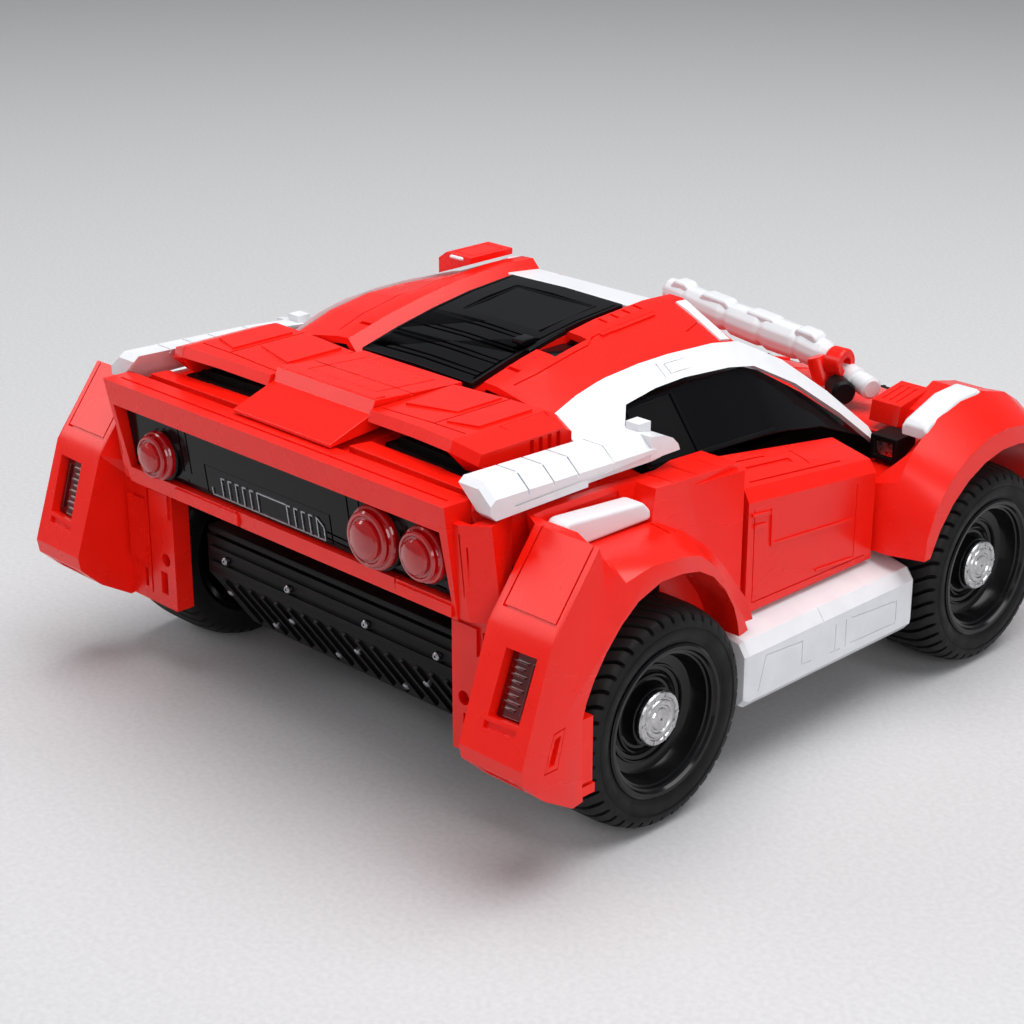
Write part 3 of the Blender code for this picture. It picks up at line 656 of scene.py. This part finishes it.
def tail_lamp(place, x, z, radius):
    """Domed lamp with a clear stepped rim and a ringed middle, on a black seat."""
    centre = (x, tail_y(z) + 1.5, z)
    dome = [(0, 1), (1.6, 1), (2.0, 0.97), (2.2, 0.9), (2.6, 0.87), (3.4, 0.87), (3.8, 0.82), (3.9, 0.74),
            (3.6, 0.7), (3.6, 0.64), (4.3, 0.62), (4.9, 0.54), (5.3, 0.4), (5.55, 0.22), (5.6, 0.06)]
    dome = [(height, radius * share) for height, share in dome]
    node = f"tail_light_{place}"
    made = spindle(f"{node}_dome", centre, BACKWARD, dome, MAT["lamp_lens"], 56, 24)
    placed(made, "root", "lamp_lens", node)
    seat = [(0, radius + 0.05), (0, radius + 0.5), (0.4, radius + 0.5), (0.6, radius + 0.05)]
    made = turned(f"{node}_seat", centre, 1, "Y", seat, MAT["gloss_black"], 48)
    placed(made, "root", "gloss_black")


# -------------------------------- deck and roof

DECK_NORMAL = (0, -0.07, 1)
LOUVRE_SLOPE = (0, 0.15, 1)
LOUVRE_PROFILE = ((57.4, 87.4), (46, 90.3), (34, 92.7), (22, 94.5), (7, 95.7))       # (y, z) down its middle


def deck():
    """Raised middle of the rear deck, with its panel groove and lip."""
    panel = [(-12, 62, 87.7), (12, 62, 87.7), (12, 80, 88.9), (-12, 80, 88.9)]
    lip = [(-16.4, 81.2, 88.9), (16.4, 81.2, 88.9), (16.4, 84.4, 89.1), (-16.4, 84.4, 89.1)]
    cuts = [moat(panel, DECK_NORMAL, 0.5, 0.5), line((-17, 74, 88.3), (17, 74, 88.3), UP, 0.5, 1, 0.4)]
    skin("rear_deck", 0.5, cuts, [prism(lip, DECK_NORMAL, 0.45, 0.6)])


def deck_wing(corner, side):
    """Deck beside the middle: plates, grooves and vents, and the dark slot with its red ledge."""
    def at(x, y):
        return (side * x, y, 87.7 + (x - 17.4) / 30)

    plates = ([at(20.5, 62.5), at(34, 62.5), at(34, 76), at(20.5, 79)],
              [at(37, 64), at(45, 64), at(45, 80), at(37, 82)])
    joins = [prism(plate, UP, 0.45, 1.0) for plate in plates]
    cuts = [line(at(18, 84.0), at(45.5, 84.5), UP, 0.5, 1, 0.9),
            line(at(35.5, 61.5), at(35.5, 84), UP, 0.5, 1, 0.8),
            line(at(24, 62.5), at(31, 77), UP, 0.5, 2, 0.2),
            line(at(18, 60.6), at(46, 61), UP, 0.5, 1, 0.8)]
    for y in (63.5, 66.2, 68.9, 71.6):
        vent = flat(side, 53, (y, 82.4), (y + 1.2, 82.4), (y + 1.2, 86), (y, 86))
        cuts.append(prism(vent, (side, 0, 0.3), 2, 1.4))
    cuts.append(moat([at(46.8, 62), at(52, 63), at(52, 74), at(46.8, 76)], (side * 0.3, 0, 1), 0.4, 0.9))
    skin(f"deck_wing_{corner}", 0.45, cuts, joins)
    ledge = sided(side, (20, 88.6, 80.1), (54, 88.6, 79.4), (55, 93.6, 79.4), (18.6, 94.2, 80.1))
    detail(prism(ledge, UP, 1.5, 0.8, MAT["red_plastic"], f"deck_ledge_{corner}"), "red_plastic", 0.4)
    name = f"deck_slot_{corner}"
    slot = sided(side, (22, 74, 80.6), (50, 74, 79.6), (50, 86.6, 79.6), (22, 86.6, 80.6))
    detail(prism(slot, UP, 0.6, 0.4, MAT["black_plastic"], name), "black_plastic", 0.2)
    for i in range(3):
        start, end = sided(side, (24, 77 + 3.4 * i, 81.1), (48, 77 + 3.4 * i, 80.2))
        rib = line(start, end, UP, 0.8, 1.3, 0.6, MAT["black_plastic"], f"{name}_rib_{i}")
        detail(rib, "black_plastic", 0.2)


def roof():
    """The shell with a notched right rail, draped creases, and the white band along its front edge."""
    cuts = [cuboid((-29.4, 30.5, 89.5), (-22.6, 41, 99))]
    for y in (9, 13, 17, 21):
        cuts.append(drape("roof_shell", [(-24.0, y), (-27.2, y + 0.4)], 1.0, 1.5, 0.6))
    for side in (-1, 1):
        crease = ((29.6, 8), (29.6, 20), (29.6, 29), (31.4, 32), (31.4, 46), (30, 55))
        crease = [(side * x, y) for x, y in crease]
        cuts.append(drape("roof_shell", crease, 0.5, 1, 0.5))
        cuts.append(drape("roof_shell", [(side * 36, -2), (side * 38.5, 6)], 0.5, 1, 0.5))
        cuts.append(drape("roof_shell", [(side * 23.6, 50.5), (side * 27.4, 50.5)], 1.2, 2, 1.2))
    rib = drape("roof_shell", [(-30.6, 9), (-30.6, 18), (-30.6, 27)], 1.2, 0.5, 0.5)
    skin("roof_shell", 0.5, cuts, [rib])
    header = [(-5.2, 94.4), (5.9, 95.4), (5.9, 93.2), (-5.2, 92.8)]
    detail(beam("roof_header", 1, header, (-23, 23), MAT["white_plastic"]), "white_plastic", 0.5, 3)
    for corner, side in SIDES:
        path = [(side * x, y) for x, y in ((28.6, -2.8), (36, -2.6), (43.4, -2.2))]
        strip = drape("roof_shell", path, 3.4, 0.5, 0.6, MAT["white_plastic"], f"header_strip_{corner}")
        detail(strip, "white_plastic", 0.2)
    well = cuboid((-28.6, 31, 91.3), (-20.2, 40.5, 91.9), MAT["gloss_black"], "rail_well")
    detail(well, "gloss_black", 0.2)
    start, end = (-21.4, 29.8, 94.4), (-21.4, 41.8, 91.9)
    detail(line(start, end, (0, 0.2, 1), 1.4, 0.6, 1.6, MAT["gloss_black"], "rail_bar"), "gloss_black", 0.4)


def louvre_height(y):
    """Height of the louvre's face at a place along the car."""
    for (y0, z0), (y1, z1) in zip(LOUVRE_PROFILE, LOUVRE_PROFILE[1:]):
        if y1 <= y <= y0:
            return z0 + (z1 - z0) * (y0 - y) / (y0 - y1)
    raise ValueError(f"the louvre does not reach y {y}")


def louvre():
    """Slatted rear window: pairs of grooves, a shallow panel in front, and its rim and catch."""
    cuts = []
    for y in (54.5, 52.9, 48.5, 46.9, 42.5, 40.9, 36.5, 34.9):
        z = louvre_height(y)
        cuts.append(line((-17.6, y, z), (17.6, y, z), LOUVRE_SLOPE, 0.6, 1, 0.55))
    panel = [(-15, 12, 95.2), (12, 12, 95.2), (12, 31, 93.1), (-15, 31, 93.1)]
    cuts.append(prism(panel, (0, 0.1, 1), 3, 0.15))
    for x in (-17.9, 17.9):
        cuts.append(line((x, 8.5, 95.6), (x, 56, 87.6), LOUVRE_SLOPE, 0.5, 1.5, 0.5))
    skin("rear_louvre", 0.3, cuts, segments=2, smooth=30)
    start, end = (-14.6, 31.2, 93.1), (-14.6, 12, 95.1)
    edge = line(start, end, (0, 0.1, 1), 0.7, 0.45, 0.4, MAT["gloss_black"], "louvre_rim")
    detail(edge, "gloss_black", 0.15)
    catch = cuboid((-18.6, 36, 92.2), (-14.6, 40.5, 93.6), MAT["gloss_black"], "louvre_catch")
    detail(catch, "gloss_black", 0.4)


def scoop():
    """Roof scoop on the left, with a panel groove and a white pad behind."""
    panel = [(31.4, -2, 98.5), (38, -2, 98.5), (38, 9, 98.5), (31.4, 9, 98.5)]
    skin("roof_scoop", 0.5, [moat(panel, UP, 0.4, 0.4)])
    pad = cuboid((32.6, 3.4, 97.2), (37.4, 11.7, 98.2), MAT["white_plastic"], "scoop_pad")
    detail(pad, "white_plastic", 0.5, 3)


def side_frame(corner, side):
    """White frame over the door glass, with a panel groove between two seams."""
    out = (side * 0.62, 0, 0.78)

    def on(y, share):
        """A point on the frame's sloping face over the door; share runs from its top edge to its foot."""
        return (side * (44.7 + 5.6 * share), y, 91.75 - 4.35 * share)

    cuts = [moat([on(23, 0.3), on(14.5, 0.3), on(14.5, 0.72), on(23, 0.72)], out, 0.45, 0.35)]
    cuts += [line(on(y, 0.2), on(y, 0.8), out, 0.4, 1, 0.3) for y in (12.6, 25)]
    skin(f"side_frame_{corner}", 0.8, cuts, segments=4)


def windows():
    """Side glass with a matt quarter pane, its bar and the lower frame."""
    skin("cabin_glass", 0.3, segments=2, smooth=50)
    for corner, side in SIDES:
        out = (side * 0.82, 0, 0.58)
        pane = sided(side, (49.9, 25.2, 84.4), (58.0, 24.2, 72.2), (58.0, 39.6, 72.7), (49.9, 39.6, 84.1))
        pane = prism(pane, out, 0.35, 0.8, MAT["black_plastic"], f"quarter_pane_{corner}")
        detail(pane, "black_plastic", 0.2)
        start, end = sided(side, (49.8, 24.6, 84.6), (58.2, 23.6, 71.9))
        bar = line(start, end, out, 0.9, 0.6, 0.6, MAT["gloss_black"], f"pane_bar_{corner}")
        detail(bar, "gloss_black", 0.2)
        start, end = sided(side, (58.2, 24, 71.9), (58.2, -4, 70.8))
        sill = line(start, end, out, 1.1, 0.5, 0.8, MAT["black_plastic"], f"glass_sill_{corner}")
        detail(sill, "black_plastic", 0.2)


# -------------------------------- sides

DOOR_X, GRIP_X, SKIRT_X = 74, 71.6, 81.6


def door(corner, side):
    """Door skin with edge seams, creases over its top, raised ribs, and a grip on the inside."""
    node, out = f"door_{corner}", (side, 0, 0)
    seams = (((21.6, 39), (21.9, 62), 0.3), ((21.6, 39), (-21, 38.4), 0.3),
             ((-16.5, 38.4), (-16.5, 58), 0.25))
    creases = (([(70.5, 20), (70.5, 4), (70.5, -14)], 0.5), ([(66.5, 16), (66.5, 0)], 1.6),
               ([(63.5, 19), (63.5, 6)], 0.5), ([(62.6, -4), (69, -4)], 0.5))
    ribs = ((((22.9, 61.2), (16.6, 60.5), (16.6, 59.6), (22.9, 60.3)), 0.5),
            (((22.2, 58.4), (17.8, 57.9), (17.8, 57.0), (22.2, 57.5)), 0.5),
            (((16.2, 60.6), (15.5, 60.5), (15.2, 51.4), (15.9, 51.4)), 0.45),
            (((15.6, 52.2), (-14.5, 49.9), (-14.5, 49.2), (15.6, 51.5)), 0.45),
            (((-1.7, 40.5), (-15.5, 39.5), (-15.5, 38.9), (-1.7, 39.9)), 0.4))
    cuts = [line(*flat(side, DOOR_X, a, b), out, 0.35, 1, depth) for a, b, depth in seams]
    cuts += [drape(node, [(side * x, y) for x, y in path], width, 1, 0.4) for path, width in creases]
    joins = [prism(flat(side, DOOR_X, *corners), out, height, 0.6) for corners, height in ribs]
    skin(node, 0.6, cuts, joins)
    grip = flat(side, GRIP_X, (12, 52), (12, 56), (-6, 55), (-6, 51))
    grip = prism(grip, (-side, 0, 0), 1.6, 0.4, MAT["black_plastic"], f"door_grip_{corner}")
    detail(grip, "black_plastic", 0.4, body=BODY_OF[node])


def skirt(corner, side):
    """White side skirt with grooves over its top edge and fine lines on its wall."""
    cuts = [line((side * 69, 4, 36.2), (side * 80, 4, 35.8), UP, 0.4, 2, 0.5),
            line((side * 79.6, 4, 34.2), (side * 82, 4, 30.8), (side * 0.8, 0, 0.5), 0.4, 2, 0.4)]
    paths = (((25, 29.4), (11.6, 28.6), (11.6, 22.6)), ((11.6, 22.6), (8, 22.4)), ((25, 29.4), (27.4, 21)),
             ((-1, 28.8), (-1, 22)), ((1, 22), (-3, 21.8)), ((-5, 28.8), (-5, 21.6)),
             ((-7, 28.6), (-25, 27.4)), ((-25, 27.4), (-25, 22)), ((-7, 22), (-25, 21.6)))
    for path in paths:
        for a, b in zip(path, path[1:]):
            cuts.append(line(*flat(side, SKIRT_X, a, b), (side, 0, 0), 0.35, 1, 0.22))
    skin(f"side_skirt_{corner}", 2.1, cuts, segments=5, smooth=50)


def front_fender(corner, side):
    """Front fender with its white insert, the grooved red block beside the cowl, and the headlamps."""
    panel = sided(side, (66, -84, 61.5), (76.5, -84, 61.3), (76.5, -75, 66.8), (66, -75, 66.8))
    cuts = [moat(panel, (0, -0.6, 1), 0.5, 0.9),
            line((side * 71, -26, 40), (side * 71, -26, 53), (side, 0, 0), 0.5, 1, 0.4)]
    skin(f"front_fender_{corner}", 0.6, cuts)
    rings = []
    for y, top in ((-37.5, 67.4), (-39, 68.8), (-50, 72.6), (-58, 73.0), (-60.5, 72.0)):
        edge, foot = top - 0.8, top - 3
        rings.append(sided(side, (70.8, y, foot), (70.8, y, edge), (72, y, top), (77, y, top),
                           (78.2, y, edge), (78.2, y, foot)))
    detail(lofted(f"fender_insert_{corner}", rings, MAT["white_plastic"]), "white_plastic", 0.5, 3)
    section = [(-46.5, 62), (-47.5, 67.4), (-59.5, 69.4), (-62, 68.2), (-62, 61)]
    block = beam(f"cowl_block_{corner}", side, section, (54.5, 63.4), MAT["red_plastic"])
    for x in (56.4, 58.6, 60.8):
        carve(block, line((side * x, -49, 67.6), (side * x, -58, 69.1), UP, 0.5, 2, 0.6))
    detail(block, "red_plastic", 0.4)
    case = sided(side, (66, -94.2, 47.6), (80.5, -91.4, 47.6), (80.5, -88.6, 55), (66, -89.8, 56))
    case = prism(case, (side * 0.15, -0.85, 0.5), 1.7, 1.2, MAT["gloss_black"], f"headlamp_case_{corner}")
    detail(case, "gloss_black", 0.4)
    profile = [(-0.6, 0.2), (-0.6, 2.9), (1.2, 2.9), (1.6, 2.4), (1.5, 1.9), (1.9, 1.5), (2.2, 0.2)]
    for i, x in enumerate((69.8, 76.6)):
        centre, name = (side * x, -93.2 + (x - 66) * 0.16, 51.6), f"headlamp_{corner}_{i}"
        placed(turned(name, centre, -1, "Y", profile, MAT["headlamp_lens"], 32, 28), "root")


def mirror(corner, side):
    """Mirror housing with its glass and stalk."""
    skin(f"mirror_{corner}", 0.9, [side_box(side, (64, -37.0, 57.8), (69.4, -35, 61.8))], segments=4)
    name = f"mirror_glass_{corner}"
    detail(side_box(side, (64.3, -37.3, 58.1), (69.1, -36.8, 61.5), MAT["chrome"], name), "chrome", 0)
    name = f"mirror_stalk_{corner}"
    stalk = side_box(side, (60.5, -42.4, 57.4), (65, -39, 60.4), MAT["black_plastic"], name)
    detail(stalk, "black_plastic", 0.6)


# -------------------------------- front and underside

HOOD_SLOPE, TAIL_RAKE = (0, -0.25, 1), (0, 18, -13)      # normals of the hood and of the tray's raked back
INTAKES = (-40, -24, -8, 8, 24, 40)


def hood():
    """Hood with a panel groove, two small ones beside it, and two ridges."""
    panel = [(-30, -58, 62.3), (30, -58, 62.3), (24, -86, 55.6), (-24, -86, 55.6)]
    cuts = [moat(panel, HOOD_SLOPE, 0.7, 0.8)]
    for side in (-1, 1):
        panel = sided(side, (42, -64, 60.2), (57, -64, 60.6), (55, -84, 55), (42, -84, 54.6))
        cuts.append(moat(panel, HOOD_SLOPE, 0.6, 0.9))
    joins = [line((x, -62, 61.8), (x * 0.8, -92, 53.8), HOOD_SLOPE, 1.6, 0.7, 1.0) for x in (-9, 9)]
    skin("hood", 0.5, cuts, joins)


def bumper_front(x):
    """How far forward the curved front bumper reaches."""
    return x * x / 900 - 109


def front_bumper():
    """Front bumper with its intakes, end recesses, the grille above it and two fog lamps."""
    cuts = [cuboid((x - 6.5, -112, 23.5), (x + 6.5, bumper_front(x) + 2.4, 30.5)) for x in INTAKES]
    for side in (-1, 1):
        recess = sided(side, (54, -105.8, 24), (72, -103.3, 24), (72, -103.3, 33), (54, -105.8, 33))
        cuts.append(prism(recess, (side * 0.14, -1, 0), 3, 1.4))
    cuts.append(line((-78, -103, 34.2), (78, -103, 34.2), FORWARD, 0.6, 8, 1))
    skin("front_bumper", 0.6, cuts)
    for i, x in enumerate(INTAKES):
        low, high = (x - 5.9, bumper_front(x) + 1.4, 24.1), (x + 5.9, bumper_front(x) + 4.2, 29.9)
        detail(cuboid(low, high, MAT["black_plastic"], f"intake_{i}"), "black_plastic", 0.2)
    grille = cuboid((-58, -103.6, 45.2), (58, -101.6, 49.4), MAT["black_plastic"], "front_grille")
    detail(grille, "black_plastic", 0.4)
    for i in range(19):
        x, name = -54 + 6 * i, f"front_grille_bar_{i}"
        bar = line((x, -103.7, 45.4), (x, -103.7, 49.2), FORWARD, 0.8, 0.7, 0.4, MAT["gloss_black"], name)
        detail(bar, "gloss_black", 0)
    profile = [(-0.4, 0.2), (-0.4, 3.6), (1.0, 3.6), (1.5, 3.0), (1.4, 2.3), (1.9, 1.8), (2.2, 0.2)]
    for corner, side in SIDES:
        centre = (side * 63, -103.4, 28.5)
        placed(turned(f"fog_lamp_{corner}", centre, -1, "Y", profile, MAT["headlamp_lens"], 36, 28), "root")


def arm():
    """Segmented white arm lying over the cowl, with its red clamp, dark joint and white end tube."""
    path = [(-40, -60, 67.6), (-30, -62.5, 69), (-17, -65, 70), (4, -69, 70), (20, -72.5, 70),
            (38, -78.5, 70), (42.5, -79.3, 70)]
    stations = [(1.0, 3.0), (1.15, 4.3), (1.75, 4.5), (1.9, 3.9), (2.0, 4.7), (2.5, 4.9), (2.62, 4.1),
                (2.7, 4.8), (3.3, 4.6), (3.45, 3.6), (3.6, 4.4), (4.5, 4.4), (4.62, 3.8), (4.75, 4.2),
                (5.6, 3.9), (5.95, 2.4)]                             # (place along the path, radius)
    rings = []
    for place, radius in stations:
        leg = int(place)
        x, y, z = Vector(path[leg]).lerp(Vector(path[leg + 1]), place - leg)
        turns = [2 * pi * i / 12 for i in range(12)]
        rings.append([(x, y + radius * cos(a), z + radius * sin(a)) for a in turns])
    made = rounded(lofted("cowl_arm_segments", rings, MAT["white_plastic"]), 0.5, 3, 20, 35)
    placed(made, "root", "white_plastic", "cowl_arm")
    for i, (x, y, half) in enumerate(((-21, -64.2, 5.2), (-3, -67.6, 7.2), (17, -72, 7), (34, -77, 4.4))):
        outline = [(-half, 1.2), (-half + 1.6, 0), (half - 2.4, 0), (half, 2), (half, 5), (-half, 5)]
        rings = [[(x + u, y + v - 0.21 * u, 74.9 - w) for u, w in outline] for v in (-2.6, 2.6)]
        detail(lofted(f"cowl_arm_pad_{i}", rings, MAT["white_plastic"]), "white_plastic", 1.1, 3)
    profile = ((0, 2.6), (6.5, 2.6), (7.5, 2.2), (7.5, 1.6))
    lug = spindle("arm_clamp_lug", (-32.5, -56.5, 64), (0.35, 0.1, 1), profile, MAT["red_plastic"], 28)
    placed(lug, "root", "red_plastic")
    profile = [(-2.4, 1.7), (-2.4, 3.5), (-1.9, 3.9), (1.9, 3.9), (2.4, 3.5), (2.4, 1.7)]
    ring = turned("arm_clamp_ring", (-35.8, -58.2, 70.4), 1, "X", profile, MAT["red_plastic"], 36)
    placed(ring, "root", "red_plastic")
    base = cuboid((-37.6, -60.8, 63.6), (-29.6, -56.2, 68.2), MAT["red_plastic"], "arm_clamp_base")
    detail(base, "red_plastic", 0.8, 3)
    profile = ((-3, 2.4), (-2.4, 3.2), (3.4, 3.2), (4.2, 2.6))
    joint = spindle("arm_joint", (-39, -54.6, 64.6), (-1, 0.7, 0), profile, MAT["black_plastic"], 28)
    placed(joint, "root", "black_plastic")
    profile = ((0, 2.2), (0.6, 2.9), (5, 2.9), (5.4, 2.5), (6.4, 2.5), (6.8, 3.1), (15, 3.1))
    tube = spindle("arm_end", (-48, -56.4, 66.2), (17, -6.6, 1), profile, MAT["white_plastic"], 28)
    placed(tube, "root", "white_plastic")


def underside():
    """Ribs and screws on the black chassis tray, and the grooved battery cover."""
    joins = [line((x, 85.6, 29.4), (x, 75.0, 14.6), TAIL_RAKE, 1.2, 0.8, 0.6) for x in range(-40, 41, 5)]
    joins += [line((-44, 86, z), (44, 86, z), BACKWARD, 1.2, 0.8, 0.6) for z in (33, 37)]
    joins += [line((-40, y, 12), (40, y, 12), DOWN, 1.6, 0.5, 0.6) for y in (-80, -70, 44, 56)]
    skin("chassis_tray", 0.5, joins=joins)
    spots = [(x, 86.7, 35, BACKWARD) for x in (-38, -14, 14, 38)]
    spots += [(x, 82.4, 24.2, TAIL_RAKE) for x in (-30, -6, 18, 42)]
    spots += [(x, 78.0, 17.8, TAIL_RAKE) for x in (-42, -18, 6, 30)]
    spots += [(x, y, 12, DOWN) for x in (-38, 38) for y in (-76, -30, 30, 66)]
    profile = ((-0.5, 1.0), (0.4, 1.0), (0.7, 0.7), (0.7, 0.35), (0.3, 0.3))
    for i, (x, y, z, normal) in enumerate(spots):
        placed(spindle(f"screw_{i}", (x, y, z), normal, profile, MAT["steel"], 16), "root", "steel")
    cuts = [line((x, -20, 12.1), (x, 20, 12.1), DOWN, 0.8, 1, 0.5) for x in (-12, -6, 0, 6, 12)]
    skin("battery_cover", 0.3, cuts)


# -------------------------------- stage, in metres

CAMERA_PLACE, CAMERA_TARGET, FOCAL_LENGTH = (-0.3617, 0.3828, 0.2427), (0.0283, -0.0021, 0.026), 76.8
LIGHT_TARGET = (0, 0, 0.04)
LIGHTS = (("overhead", (-0.15, -0.1, 1.1), (1.1, 1.1), 17), ("back_left", (1.0, 0.75, 0.65), (0.8, 0.6), 5),
          ("camera_side", (-1.1, 0.6, 0.55), (0.7, 0.7), 5))         # name, place, size, watts
SKY_COLOUR, SKY_STRENGTH = (0.86, 0.88, 0.92, 1), 0.28
FLOOR_REACH, FLOOR_DEPTH, FLOOR_GAP = 6000, 20, 0.02                 # mm


def stage():
    """Plain pale floor, soft overhead light and the photograph's view."""
    scene = bpy.context.scene
    paint, tree, shader = shader_of("studio_floor")
    grain = ramp(tree, noise(tree, 700, 6.0), 0.3, 0.7, (0.50, 0.50, 0.51), (0.56, 0.56, 0.57))
    tree.links.new(grain, shader.inputs["Base Color"])
    shader.inputs["Roughness"].default_value = 0.7
    low, high = (-FLOOR_REACH, -FLOOR_REACH, -FLOOR_DEPTH), (FLOOR_REACH, FLOOR_REACH, -FLOOR_GAP)
    floor = cuboid(low, high, paint, "floor")
    world = bpy.data.worlds.new("studio")
    scene.world = world
    world.use_nodes = True
    back = world.node_tree.nodes.get("Background") or world.node_tree.nodes.new("ShaderNodeBackground")
    out = world.node_tree.nodes.get("World Output") or world.node_tree.nodes.new("ShaderNodeOutputWorld")
    world.node_tree.links.new(back.outputs[0], out.inputs[0])
    back.inputs["Color"].default_value = SKY_COLOUR
    back.inputs["Strength"].default_value = SKY_STRENGTH
    for name, where, size, watts in LIGHTS:
        data = bpy.data.lights.new(name, "AREA")
        data.shape = "RECTANGLE"
        data.size, data.size_y = size
        data.energy = watts
        light = bpy.data.objects.new(name, data)
        scene.collection.objects.link(light)
        light.location = where
        light.rotation_euler = (Vector(LIGHT_TARGET) - Vector(where)).to_track_quat("-Z", "Y").to_euler()
    data = bpy.data.cameras.new("view")
    data.lens = FOCAL_LENGTH
    camera = bpy.data.objects.new("view", data)
    scene.collection.objects.link(camera)
    camera.location = CAMERA_PLACE
    camera.rotation_euler = (Vector(CAMERA_TARGET) - camera.location).to_track_quat("-Z", "Y").to_euler()
    scene.camera = camera
    scene.view_settings.view_transform = "Standard"


def main():
    """Set the stage, dress the nodes that have a detailed look, and give the others a plain skin."""
    stage()
    for corner, side in CORNERS:
        tyre(corner, side)
        rim(corner, side)
    bumper()
    tail_panel()
    tail_lamp("left", 44.3, 64.4, 6.0)
    tail_lamp("right_inner", -33.6, 66.1, 7.3)
    tail_lamp("right_outer", -49.7, 67, 6.4)
    deck()
    for corner, side in SIDES:
        deck_wing(corner, side)
    for build in (roof, louvre, scoop, windows, hood, front_bumper, arm, underside):
        build()
    for corner, side in SIDES:
        for build in (rear_fender, fender_block, strut, side_frame, door, skirt, front_fender, mirror):
            build(corner, side)
    for node, solid in frame["nodes"].items():
        if not solid.hide_render:
            skin(node)


main()
